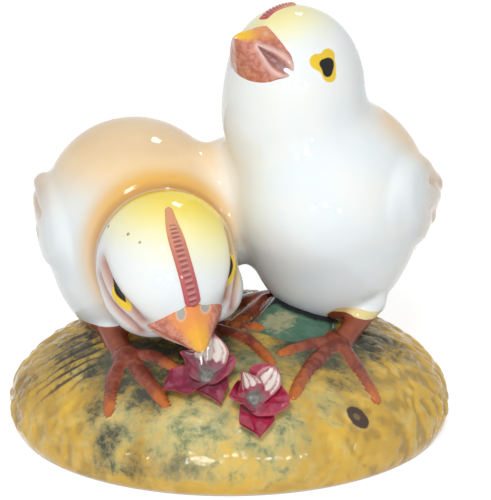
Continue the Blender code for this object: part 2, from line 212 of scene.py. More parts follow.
def chickBalls(chick):
    # Every mass of one chick as (centre, axes, full size, how far its join is rounded)
    sizes = chickSizes
    axes = turned(chick["yaw"], chick["bodyPitch"])
    level = turned(chick["yaw"])
    centre = lifted(chick["place"])
    belly = centre + level @ np.array(chick["belly"])
    balls = [(centre, axes, sizes["body"], 1.0), (belly, level, chick["bellySize"], sizes["joinReach"])]
    balls.append((lifted(chick["neck"]), level, chick["neckSize"], chick["neckReach"]))
    outward, behind = sizes["shoulderPlace"]
    for side in (-1, 1):
        out = np.array([side * outward, behind, chick["wingRise"]])
        shoulder = axes @ turned(side * sizes["shoulderTurn"])
        balls.append((centre + axes @ out, shoulder, sizes["shoulder"], sizes["shoulderReach"]))
        for (x, y, z), fan in chick["feathers"]:
            splay = axes @ turned(side * sizes["featherTurn"], fan)
            tip = centre + axes @ np.array([side * x, y, z])
            middle = tip - splay @ np.array([0, sizes["feather"][1] * sizes["featherBack"], 0])
            balls.append((middle, splay, sizes["feather"], sizes["featherReach"]))
    spread, behind, rise = sizes["tailPlace"]
    for x, fan in tailFeathers:
        lift = axes @ turned(-fan, sizes["tailLift"])
        place = centre + axes @ np.array([x * spread, behind, rise])
        balls.append((place, lift, sizes["tail"], sizes["featherReach"]))
    face = faceOf(chick)
    size = np.array(sizes["head"]) * chick["headScale"]
    balls.append((face["centre"], face["axes"], size, chick["headReach"]))
    return balls


# Legs: the shank's top, whose height is a rise, and its joint on the mound's plan
legs = {
    "standingLeft": ((38.0, -1.0, 4.5), (28.6, -9.8)),
    "standingRight": ((16.5, 15.0, 4.0), (12.0, 14.5)),
    "peckingRight": ((-34.0, 2.0, 0.0), (-26.5, -16.5)),
    "peckingLeft": ((-12.0, 6.0, 4.0), (-6.0, -7.5)),
}
legShape = {
    "top": 7.4, "foot": 5.0, "sink": 1.5, "reach": 2.6, "flare": 0.6, "roughWidth": 8.0, "roughSink": 1.0,
    "standingPaint": 7.2, "peckingPaint": 4.6,
}

# The grassy mound's own sizes and the fineness of its grid
mound = {
    "width": 119.1, "depth": 87.2, "foot": 5.5, "inset": 1.8, "power": 2.2,
    "around": 500, "rows": 128, "footRows": 12, "undersideRows": 16,
    "dabHeight": 0.42, "rippleHeight": 0.75,
}


def domeHeight(x, y):
    # Superellipse dome: foot + rise * (1 - reach^p)^(1/p), reach being 1 at the oval's edge
    reach = np.hypot(2 * x / mound["width"], 2 * y / mound["depth"])
    rise = np.clip(1 - reach ** mound["power"], 0, 1) ** (1 / mound["power"])
    return mound["foot"] + (crownHeight - mound["foot"]) * rise


def onMound(x, y, lift=0.0):
    # A point on the dome, or lift above it
    return np.array([x, y, domeHeight(x, y) + lift])


def legLine(top, joint):
    # From the top of a shank to a little below the mound's surface
    return [lifted(top), onMound(*joint, -legShape["sink"])]


def legField(points, top, joint):
    # A tapering round leg, wider towards the belly and flared where it meets the mound
    away, share = alongPath(points, legLine(top, joint))
    radius = (legShape["top"] + (legShape["foot"] - legShape["top"]) * share**0.6) / 2
    above = points[:, 2] - domeHeight(points[:, 0], points[:, 1])
    return away - radius - legShape["flare"] * np.exp(-np.clip(above, 0, 9) / 1.0)


# Spots on a head are measured from its centre: to the side, forward and up
peckFace = faceOf(pecking)
standFace = faceOf(standing)
faceLean = 12.7
eyeGroove = [
    (-16.7, -2.9, 4.7), (-17.0, 2.2, 3.8), (-16.4, 6.0, 2.7),
    (-15.2, 9.4, 1.4), (-13.4, 12.4, 0.2), (-10.8, 15.0, -1.6),
]
cheekCrease = [
    (-17.4, -1.8, 1.5), (-17.2, 3.1, -0.6), (-16.4, 6.9, -2.6),
    (-14.8, 11.0, -3.7), (-13.2, 13.6, -4.6), (-11.0, 15.6, -6.0),
]
cheek = {"place": (-6.5, 5.5, -6.2), "size": (20.5, 23.0, 15.5), "reach": 1.4}
cap = {"place": (-0.4, 1.0, 1.1), "size": (34.4, 37.6, 34.8), "reach": 3.0}
headReachOut = 24.0


def acrossFace(spots):
    # The same spots on the other cheek: mirrored in the middle plane, which leans sideways
    spots = np.atleast_2d(np.asarray(spots, dtype=float))
    lean = math.radians(90 + faceLean)
    middle = np.array([math.cos(lean), math.sin(lean)])
    flat = spots[:, (0, 2)]
    flat = 2 * (flat @ middle)[:, None] * middle - flat
    return np.stack([flat[:, 0] * 0.97, spots[:, 1] + 1.6, flat[:, 1] * 0.97], axis=1)


def faceToWorld(face, spots):
    # Side, forward, up of a head become x, -y, z of its turned axes
    spots = np.asarray(spots, dtype=float)
    return face["centre"] + (spots * (1, -1, 1)) @ face["axes"].T


def furrow(points, path, width, depth):
    # A furrow of half width w: depth * exp(-(d/w)^2), shallower towards its ends
    away, share = alongPath(points, path)
    return depth * np.exp(-(away / width) ** 2) * step(-0.05, 0.3, share) * step(1.1, 0.8, share)


standingBalls = chickBalls(standing)
peckingBalls = chickBalls(pecking)
webBall = (lifted(web["place"]), np.eye(3), web["size"], web["reach"])
cheekBalls = [
    (faceToWorld(peckFace, spot), peckFace["axes"], cheek["size"], cheek["reach"])
    for spot in (cheek["place"], acrossFace(cheek["place"])[0])
]
cheekBalls.append((faceToWorld(peckFace, cap["place"]), peckFace["axes"], cap["size"], cap["reach"]))
peckFurrows = [
    (faceToWorld(peckFace, rounded(knots)), width, depth)
    for knots, width, depth in (
        (eyeGroove, 1.5, 1.9), (acrossFace(eyeGroove), 1.5, 1.6),
        (cheekCrease, 1.1, 1.3), (acrossFace(cheekCrease), 1.1, 1.3),
    )
]


def merged(points, balls, value=None):
    # Smooth union of ellipsoids, and of the value given
    for centre, axes, size, reach in balls:
        away = ballField(points, centre, axes, size)
        value = away if value is None else smoothMin(value, away, reach)
    return value


def headAndNeck(points):
    # How far each point is outside the pecking chick's head, and outside the rest of it
    balls = [peckingBalls[-1], *cheekBalls]
    return merged(points, balls), merged(points, peckingBalls[:-1])


def collarNearness(points, width):
    # Near 1 along the line where the pecking head meets the neck, falling off over width
    head, neck = headAndNeck(points)
    return np.exp(-(head**2 + neck**2) / width**2)


# Wings: an oval on each flank, seen from the side, as places behind and above the wing's middle
wing = {
    "middle": (7.0, 1.5), "reach": (19.0, 11.5), "tilt": -8.0, "rise": 1.1,
    "grooves": [((24.0, 3.4), (12.0, 6.5), (2.0, 6.0)), ((23.0, -5.0), (13.0, -1.5), (4.0, -1.0))],
    "grooveDepth": 0.8, "grooveWidth": 1.1,
}
clayWaves = [(0.10, 9.0, 3), (0.05, 4.0, 4)]


def wingPlaces(points, chick):
    # Share of a wing at each point, its outline being an ellipse, and nearness to its grooves
    local = (points - lifted(chick["place"])) @ turned(chick["yaw"], chick["bodyPitch"])
    beside = step(11, 16, np.abs(local[:, 0])) * step(36, 30, np.linalg.norm(local, axis=1))
    flat = np.stack([local[:, 1], local[:, 2] - chick["wingRise"]], axis=1)
    across = (flat - wing["middle"]) @ turned(wing["tilt"])[:2, :2]
    share = step(1.12, 0.80, np.linalg.norm(across / wing["reach"], axis=1)) * beside
    away = np.full(len(points), 1e9)
    for knots in wing["grooves"]:
        groove, _ = alongPath(flat, rounded(knots, 10))
        away = np.minimum(away, groove)
    return share, np.exp(-(away / wing["grooveWidth"]) ** 2) * share


def wingLift(points, chick):
    # How far the wing stands out of the flank, less its grooves
    share, groove = wingPlaces(points, chick)
    return wing["rise"] * share - wing["grooveDepth"] * groove


def chickField(points):
    # Smooth union of all masses, less the furrows and the clay's slight unevenness
    value = merged(points, standingBalls) - wingLift(points, standing)
    other = merged(points, cheekBalls, merged(points, peckingBalls)) - wingLift(points, pecking)
    value = smoothMin(value, other, chickSizes["chickReach"])
    value = merged(points, [webBall], value)
    for top, joint in legs.values():
        value = smoothMin(value, legField(points, top, joint), legShape["reach"])
    near = np.linalg.norm(points - peckFace["centre"], axis=1) < headReachOut
    close = points[near]
    cut = collar["depth"] * collarNearness(close, collar["width"])
    for path, width, depth in peckFurrows:
        cut = cut + furrow(close, path, width, depth)
    value[near] += cut
    for height, size, seed in clayWaves:
        value = value - height * cloud(points, size, seed)
    return value


def slopeAndValue(points):
    # Gradient and value of the field from four nearby readings at a tetrahedron's corners
    corners = np.array([(1, -1, -1), (-1, -1, 1), (-1, 1, -1), (1, 1, 1)])
    reach = 0.06
    slope, value = 0, 0
    for corner in corners:
        reading = chickField(points + reach * corner)
        slope = slope + reading[:, None] * corner / (4 * reach)
        value = value + reading / 4
    return slope, value


def fusedSkin(balls, voxel):
    # The balls' surfaces under one voxel skin, as points and quads
    points, faces, count = [], [], 0
    for centre, axes, size in balls:
        shell, shellFaces = ballSurface(centre, axes, size, count)
        points.append(shell)
        faces += shellFaces
        count += len(shell)
    item = putMesh("clay", np.concatenate(points), faces)
    fuse = item.modifiers.new("fuse", "REMESH")
    fuse.mode = "VOXEL"
    fuse.voxel_size = voxel * millimetre
    graph = bpy.context.evaluated_depsgraph_get()
    mesh = bpy.data.meshes.new_from_object(item.evaluated_get(graph))
    bpy.data.objects.remove(item)
    skin = np.empty(len(mesh.vertices) * 3)
    mesh.vertices.foreach_get("co", skin)
    quads = np.empty(len(mesh.loops), dtype=np.int64)
    mesh.loops.foreach_get("vertex_index", quads)
    return skin.reshape(-1, 3) / millimetre, quads.reshape(-1, 4)


def settled(points, quads, rounds):
    # Each round moves points halfway to the mean of their neighbours, then on to the field
    count = len(points)
    total = np.bincount(quads.ravel(), minlength=count)
    for k in range(rounds):
        mean = np.stack([
            sum(np.bincount(quads[:, side], points[quads[:, side - 1], axis], count) for side in range(4))
            for axis in range(3)
        ], axis=-1) / total[:, None]
        points = points + (mean - points) * (0.5 if k < rounds - 1 else 0.0)
        slope, value = slopeAndValue(points)
        points = points - (value / np.maximum((slope**2).sum(1), 0.05))[:, None] * slope
    return points


# Painted crowns: the head's radii, and the direction in the shared frame that faces the spray
crowns = {
    "standingCrown": {"face": standFace, "radii": (15.2, 16.7, 15.2), "towards": (-0.22, -0.12, 0.97)},
    "peckingCrown": {"face": peckFace, "radii": (18.4, 20.1, 18.5), "towards": (0.18, 0.30, 0.94)},
}


def onSkin(points):
    # The points moved on to the fused skin, and its outward direction there
    for _ in range(3):
        normal, value = slopeAndValue(points)
        normal /= np.linalg.norm(normal, axis=1)[:, None]
        points = points - value[:, None] * normal
    return points, normal


def chickMarks(points):
    # Where the airbrushed colours and the painted shade lie, from 0 to 1 at each point
    slope, _ = slopeAndValue(points)
    normal = slope / np.linalg.norm(slope, axis=1)[:, None]
    marks = {"backPaint": 0, "wingPaint": 0, "grooveShade": 0, "furrowShade": 0, "legPaint": 0}

    def widen(mark, values):
        marks[mark] = np.maximum(marks[mark], values)

    for chick in (standing, pecking):
        local = (points - lifted(chick["place"])) @ turned(chick["yaw"], chick["bodyPitch"])
        side, rear, rise = np.abs(local[:, 0]), local[:, 1], local[:, 2]
        near = np.exp(-np.clip(np.linalg.norm(local / (27, 33, 29), axis=1) - 1, 0, 2) * 5)
        top = step(*chick["backEdge"], rise + chick["backLean"] * rear)
        flank = step(12, 27, side) * step(-2, 24, rear)
        widen("backPaint", near * np.maximum(top, flank))
        share, groove = wingPlaces(points, chick)
        tips = step(-4, 20, rear) * step(40, 34, np.linalg.norm(local, axis=1))
        tips = tips * step(14, 26, side) * step(-20, -8, rise)
        widen("wingPaint", np.maximum(tips, 0.7 * share * step(-12, 10, rear)))
        # Painted shade: tan along the wing grooves
        widen("grooveShade", groove)

    head, neck = headAndNeck(points)
    onHead = step(0.4, -0.4, head - neck)
    for name, crown in crowns.items():
        local = (points - crown["face"]["centre"]) @ crown["face"]["axes"] / crown["radii"]
        away = np.linalg.norm(local, axis=1)
        inside = step(1.10, 1.04, away) * (onHead if name == "peckingCrown" else 1)
        marks[name] = inside * np.clip(0.5 + 0.5 * normal @ np.array(crown["towards"]), 0, 1)
        bare = inside if name == "peckingCrown" else step(1.9, 1.1, away)
        marks["backPaint"] = marks["backPaint"] * (1 - bare)
    upward = step(-0.2, 0.9, normal[:, 2])
    # Orange airbrush on the neck round the head, partly painted shade of the crease there
    marks["collarPaintAndShade"] = np.exp(-(head / collar["shade"]) ** 2) * (1 - onHead) * (0.55 + 0.45 * upward)
    # Painted shade: a thin dark line in the crease where the head meets the neck
    marks["collarShadeLine"] = collarNearness(points, collar["width"] * 0.9)
    # Painted shade in the face's furrows and the creases beside them
    for path, width, _ in peckFurrows:
        away, share = alongPath(points, path)
        widen("furrowShade", np.exp(-(away / (1.6 * width)) ** 2) * step(-0.05, 0.2, share))

    above = points[:, 2] - domeHeight(points[:, 0], points[:, 1])
    for leg, (top, joint) in legs.items():
        away, _ = alongPath(points, legLine(top, joint))
        high = legShape["standingPaint"] if leg.startswith("standing") else legShape["peckingPaint"]
        widen("legPaint", step(8.0, 6.5, away) * step(high, high - 1.6, above))
        if leg == "standingLeft":
            marks["thighPaint"] = step(9.0, 6.0, away) * step(9.5, 7.5, above)
    # Painted shade: blue-grey on faces that turn downwards
    marks["underside"] = step(0.1, -0.9, normal[:, 2])
    # Painted shade: blue-grey low on the chicks, near the mound
    marks["lowShade"] = step(9.0, 2.5, above)
    return marks


print("bodies: fusing the chicks' masses")
skinBalls = [ball[:3] for ball in standingBalls + peckingBalls + cheekBalls + [webBall]]
for top, joint in legs.values():
    start, end = lifted(top), onMound(*joint, -legShape["roughSink"])
    for share in np.linspace(0, 1, 5):
        skinBalls.append((start + (end - start) * share, np.eye(3), [legShape["roughWidth"]] * 3))
skinPoints, skinQuads = fusedSkin(skinBalls, chickSizes["skinVoxel"])
skinPoints = settled(skinPoints, skinQuads, chickSizes["settleRounds"])
chickBodies = putMesh("chickBodies", skinPoints, skinQuads.tolist(), chickMarks(skinPoints))
print("bodies:", len(skinQuads) * 2, "triangles")


# Beaks

# Level and rising directions of a sheet that faces the camera
down = math.radians(view["downAngle"])
imageRight = np.array([1.0, 0.0, 0.0])
imageUp = np.array([0.0, math.sin(down), math.cos(down)])

# Each stop: share of the length, share of the width, arch; as the CAD model has them
beakProfile = np.array([
    (-0.45, 1.02, 0.00), (0.00, 1.00, 0.00), (0.35, 0.72, 0.05),
    (0.65, 0.42, 0.08), (0.88, 0.21, 0.07), (0.97, 0.11, 0.04), (1.00, 0.02, 0.03),
])
beakGrid = {"around": 176, "along": 120}
standingBeak = {
    "face": standFace, "base": 13.8, "tip": 24.7, "roll": 0.0,
    "width": 19.0, "height": 14.8, "drop": 2.2, "corner": 1.32,
    "slots": [
        [(9.2, 12.6, -4.4), (8.0, 15.0, -3.9), (6.4, 17.7, -3.0), (4.3, 20.6, -1.9)],
        [(-9.2, 12.6, -4.4), (-8.0, 15.0, -3.9), (-6.4, 17.7, -3.0), (-4.3, 20.6, -1.9)],
    ],
    "slotWidth": 1.45, "slotDepth": 1.7, "cornerRise": 0.5,
    "nostrils": [(2.6, 18.0, 2.2), (-2.6, 18.0, 2.2)],
    "nostrilDepth": 0.15, "nostrilSize": (0.7, 0.8), "yellowShare": 1.0, "nostrilShade": 0.25,
}
peckingBeak = {
    "face": peckFace, "base": 15.5, "tip": 29.0, "roll": 10.0,
    "width": 21.4, "height": 17.6, "drop": 1.2, "corner": 1.2,
    "slots": [
        [(-9.8, 15.4, -3.9), (-7.7, 18.6, -4.4), (-5.0, 22.4, -3.6), (-2.2, 26.4, -2.0)],
        [(9.6, 15.6, -1.0), (7.8, 18.6, -2.2), (5.4, 22.4, -2.2), (2.2, 26.4, -1.2)],
    ],
    "slotWidth": 0.6, "slotDepth": 0.8, "cornerRise": 0.3,
    "nostrils": [(-3.0, 19.3, 3.2), (3.4, 19.0, 4.2)],
    "nostrilDepth": 0.2, "nostrilSize": (1.15, 1.75), "yellowShare": 0.55, "nostrilShade": 1.0,
}


def beakSurface(name, beak):
    # Cone: at share s the section is (w cos u, h sin u) round an arched line, a little
    # keeled above, pressed in along the mouth's slots and at the nostrils
    s = np.linspace(-0.45, 1, beakGrid["along"])
    s = 1 - (1 - s) * (0.6 + 0.4 * (1 - s) / 1.45)
    u = np.linspace(0, 2 * np.pi, beakGrid["around"], endpoint=False)
    s, u = np.meshgrid(s, u, indexing="ij")
    wide = np.interp(s, beakProfile[:, 0], beakProfile[:, 1])
    kernel = np.exp(-np.linspace(-2, 2, 9) ** 2)
    blurred = np.convolve(np.pad(wide[:, 0], 4, mode="edge"), kernel / kernel.sum(), mode="valid")
    wide = np.where(s < 0.97, blurred[:, None], wide)
    arch = np.interp(s, beakProfile[:, 0], beakProfile[:, 2])
    reach = beak["tip"] - beak["base"]
    flat = beak["height"] / beak["width"]
    corner = np.where(np.sin(u) > 0, beak["corner"], 1.0)
    cosine = np.sign(np.cos(u)) * np.abs(np.cos(u)) ** corner
    sine = np.sign(np.sin(u)) * np.abs(np.sin(u)) ** corner
    across = beak["width"] / 2 * wide * cosine
    keel = 1 + 0.06 * np.exp(-((u - np.pi / 2) / 0.35) ** 2) * step(-0.2, 0.3, s)
    up = beak["height"] / 2 * wide * sine * keel + reach * arch * flat
    roll = np.radians(beak["roll"])
    side = across * np.cos(roll) - up * np.sin(roll)
    rise = across * np.sin(roll) + up * np.cos(roll) - beak["drop"]
    face = beak["face"]
    points = faceToWorld(face, np.stack([side, beak["base"] + reach * s, rise], axis=-1))
    nose = faceToWorld(face, (0, beak["tip"] + 0.03, reach * 0.02 - beak["drop"]))
    back = points[0].mean(axis=0)
    flatPoints = points.reshape(-1, 3)
    heart = faceToWorld(face, (0, beak["base"] - 2, -beak["drop"]))
    inward = heart - flatPoints
    inward /= np.linalg.norm(inward, axis=1)[:, None]
    press = np.zeros(len(flatPoints))
    slotShade = np.zeros(len(flatPoints))
    lipHighlight = np.zeros(len(flatPoints))
    for knots in beak["slots"]:
        away, share = alongPath(flatPoints, faceToWorld(face, rounded(knots)))
        leaf = beak["slotWidth"] * (0.12 + np.sin(np.pi * (0.03 + 0.97 * share) ** 0.62))
        inside = step(leaf * 1.15, leaf * 0.35, away)
        corner = np.linalg.norm(flatPoints - faceToWorld(face, knots[0]), axis=1)
        press -= beak["cornerRise"] * np.exp(-(corner / 2.4) ** 2)
        # The lips are raised a little; the same band gets a painted highlight
        lip = np.exp(-(((away - leaf * 1.35) / (0.55 * beak["slotWidth"] + 0.1)) ** 2))
        press += inside * beak["slotDepth"] * np.sin(np.pi * np.clip(share * 0.9 + 0.08, 0, 1)) ** 0.5
        press -= lip * 0.28 * beak["slotWidth"]
        slotShade = np.maximum(slotShade, inside)
        lipHighlight = np.maximum(lipHighlight, lip)
    nostrilMark = np.zeros(len(flatPoints))
    topward = np.sin(u).ravel()
    for spot in beak["nostrils"]:
        away = (flatPoints - faceToWorld(face, spot)) @ np.stack([imageRight, imageUp], axis=1)
        away = np.hypot(away[:, 0] / beak["nostrilSize"][0], away[:, 1] / beak["nostrilSize"][1])
        dent = np.exp(-away**4) * step(-0.1, 0.3, topward) * beak["nostrilShade"]
        press += dent * beak["nostrilDepth"]
        nostrilMark = np.maximum(nostrilMark, dent)
    flatPoints = flatPoints + inward * press[:, None]
    rings = flatPoints.reshape(points.shape)
    shell, faces = closedShell(rings, [back, nose])
    around = np.cos(u - np.pi / 2).ravel()
    marks = {
        "tipward": np.append(s.ravel(), (0, 1)),
        "topward": np.append(around, (0, 0)),
        "slotShade": np.append(slotShade, (0, 0)),
        "lipHighlight": np.append(lipHighlight, (0, 0)),
        "nostrilMark": np.append(nostrilMark, (0, 0)),
        "yellowShare": np.full(len(shell), beak["yellowShare"]),
    }
    return putMesh(name, shell, faces, marks)


beakPieces = {
    "standingBeak": beakSurface("standingBeak", standingBeak),
    "peckingBeak": beakSurface("peckingBeak", peckingBeak),
}
print("beaks: two cones with mouth slots and nostrils")


# Combs

# Each comb: spots over the head's ball, widths at its ends, and the ribs' start, stop and count
combs = {
    "peckingComb": {
        "face": peckFace, "radii": (17.5, 19.2, 17.5), "lift": 0.1,
        "spots": [
            (-1.8, -1.3, 17.4), (-2.5, 3.9, 17.0), (-2.4, 9.0, 15.3),
            (-1.7, 14.2, 11.7), (-0.4, 18.2, 5.6),
        ],
        "width": (1.6, 4.1), "ribs": (0.20, 1.0, 17), "height": 0.75,
    },
    "standingComb": {
        "face": standFace, "radii": (15.2, 16.7, 15.2), "lift": -0.35,
        "spots": [
            (-1.3, 7.2, 13.6), (-1.7, 9.0, 12.6), (-2.3, 11.1, 11.1),
            (-2.9, 13.0, 9.0), (-2.8, 14.8, 6.2),
        ],
        "width": (1.5, 3.2), "ribs": (0.02, 1.0, 12), "height": 0.7,
    },
}


def combSurface(name, comb):
    # A low ridge carried along a line over the crown: section height h (1 - v^2)^0.5, with
    # two smooth edges and, between them, small cross ribs that rise as a raised cosine
    path = rounded(comb["spots"], 110)
    unit = path / np.linalg.norm(path / np.array(comb["radii"]), axis=1)[:, None]
    line, normal = onSkin(faceToWorld(comb["face"], unit))
    run = np.gradient(line, axis=0)
    run /= np.linalg.norm(run, axis=1)[:, None]
    across = np.cross(normal, run)
    share = np.linspace(0, 1, len(line))[:, None]
    turn = np.linspace(0, 2 * np.pi, 64, endpoint=False)[None, :]
    v, lift = np.cos(turn), np.sin(turn)
    half = (comb["width"][0] + (comb["width"][1] - comb["width"][0]) * step(-0.1, 0.45, share)) / 2
    half = half * np.sqrt(np.clip(1 - (1 - np.minimum(share / 0.03, 1)) ** 2, 0.02, 1))
    half = half * np.sqrt(np.clip(1 - (1 - np.minimum((1 - share) / 0.04, 1)) ** 2, 0.02, 1))
    start, stop, count = comb["ribs"]
    inBand = step(start, start + 0.08, share) * step(stop, stop - 0.06, share) * step(0.62, 0.34, np.abs(v))
    wave = 0.5 - 0.5 * np.cos(2 * np.pi * count * (share - start) / (stop - start))
    top = comb["height"] * np.clip(lift, 0, 1) ** 0.6
    ribbed = top * (1 - inBand * 0.75) + inBand * (0.15 + 0.75 * wave)
    high = np.where(lift > 0, ribbed, 0.9 * lift) + comb["lift"]
    rings = line[:, None, :] + across[:, None, :] * (half * v)[..., None]
    rings = rings + normal[:, None, :] * high[..., None]
    rings = rings[::-1]
    shell, faces = closedShell(rings, [rings[0].mean(axis=0), rings[-1].mean(axis=0)])
    marks = {
        "forward": np.append((share + 0 * v)[::-1].ravel(), (1, 0)),
        "ribHighlight": np.append((inBand * wave)[::-1].ravel(), (0, 0)),
        "gapShade": np.append((inBand * (1 - wave))[::-1].ravel(), (0, 0)),
    }
    return putMesh(name, shell, faces, marks)


combPieces = {name: combSurface(name, comb) for name, comb in combs.items()}
print("combs: two ribbed ridges")


# The grassy mound with toes and rocks

# Toes: the joint, then two stops each, on the plan
toes = {
    "standingLeft": ((28.6, -9.8), [
        ((20.5, -14.0), (13.5, -18.5)),
        ((20.5, -23.0), (16.3, -31.5)),
        ((33.5, -20.0), (37.5, -26.5)),
    ]),
    "standingRight": ((12.0, 14.5), [((4.5, 9.5), (-1.5, 3.5)), ((7.0, 4.0), (1.0, -7.0))]),
    "peckingRight": ((-26.5, -16.5), [
        ((-29.0, -24.0), (-29.7, -32.2)),
        ((-20.5, -26.5), (-15.5, -33.5)),
        ((-19.0, -19.0), (-13.7, -23.7)),
    ]),
    "peckingLeft": ((-6.0, -7.5), [
        ((4.0, -12.5), (11.0, -22.2)),
        ((-4.0, -15.0), (-5.0, -21.5)),
        ((2.0, -6.0), (8.0, -8.5)),
    ]),
}
toeScale = {"standingRight": 1.4}
toe = {"width": 4.3, "height": 2.0, "taper": 0.40, "knuckle": 7.2, "knuckleHeight": 2.2}

# The standing chick's rock: faces through three points each, with real heights
rockFaces = [
    ((3.0, -9.8, 29.4), (15.9, -15.2, 27.9), (15.6, 1.5, 34.3)),
    ((15.9, -15.2, 27.9), (26.5, -9.7, 27.3), (23.1, -1.0, 33.0)),
    ((12.3, 3.0, 34.3), (29.0, 1.0, 33.2), (20.0, 16.0, 34.8)),
    ((3.0, -9.8, 29.4), (8.9, 7.5, 29.6), (12.3, 3.0, 34.3)),
    ((8.9, 9.0, 29.6), (27.0, 17.0, 28.6), (18.0, 8.0, 34.5)),
    ((26.5, -9.7, 27.3), (30.9, 6.0, 27.2), (27.6, 2.0, 32.6)),
    ((3.0, -9.8, 29.2), (8.4, 10.0, 29.4), (10.6, 2.5, 33.0)),
]
rockPlan = {"place": (16.5, 1.0), "reach": (15.5, 17.0)}
rockEdge = [(7.0, -1.0, 32.0), (12.3, 2.6, 34.3), (15.6, 1.2, 34.3), (23.1, -1.2, 33.0), (27.2, -4.0, 31.4)]
pit = {"place": (32.4, -31.9), "width": 5.0, "squash": 0.62, "depth": 0.8}
peckingRock = {"place": (-21.5, 9.5), "reach": (11.0, 12.5), "height": 5.0}


def fromOval(x, y, place, reach):
    # Distance from the middle of an upright oval on the plan, 1 at its edge
    return np.hypot((x - place[0]) / reach[0], (y - place[1]) / reach[1])


def rockHeight(x, y):
    # The lowest of the rock's faces over each point of the plan, rounded where they meet
    value = None
    for a, b, c in np.array(rockFaces):
        normal = np.cross(b - a, c - a)
        level = a[2] - (normal[0] * (x - a[0]) + normal[1] * (y - a[1])) / normal[2]
        value = level if value is None else smoothMin(value, level, 1.2)
    away = fromOval(x, y, **rockPlan)
    return smoothMin(value, domeHeight(x, y) + 14 * (1.08 - away), 1.0)


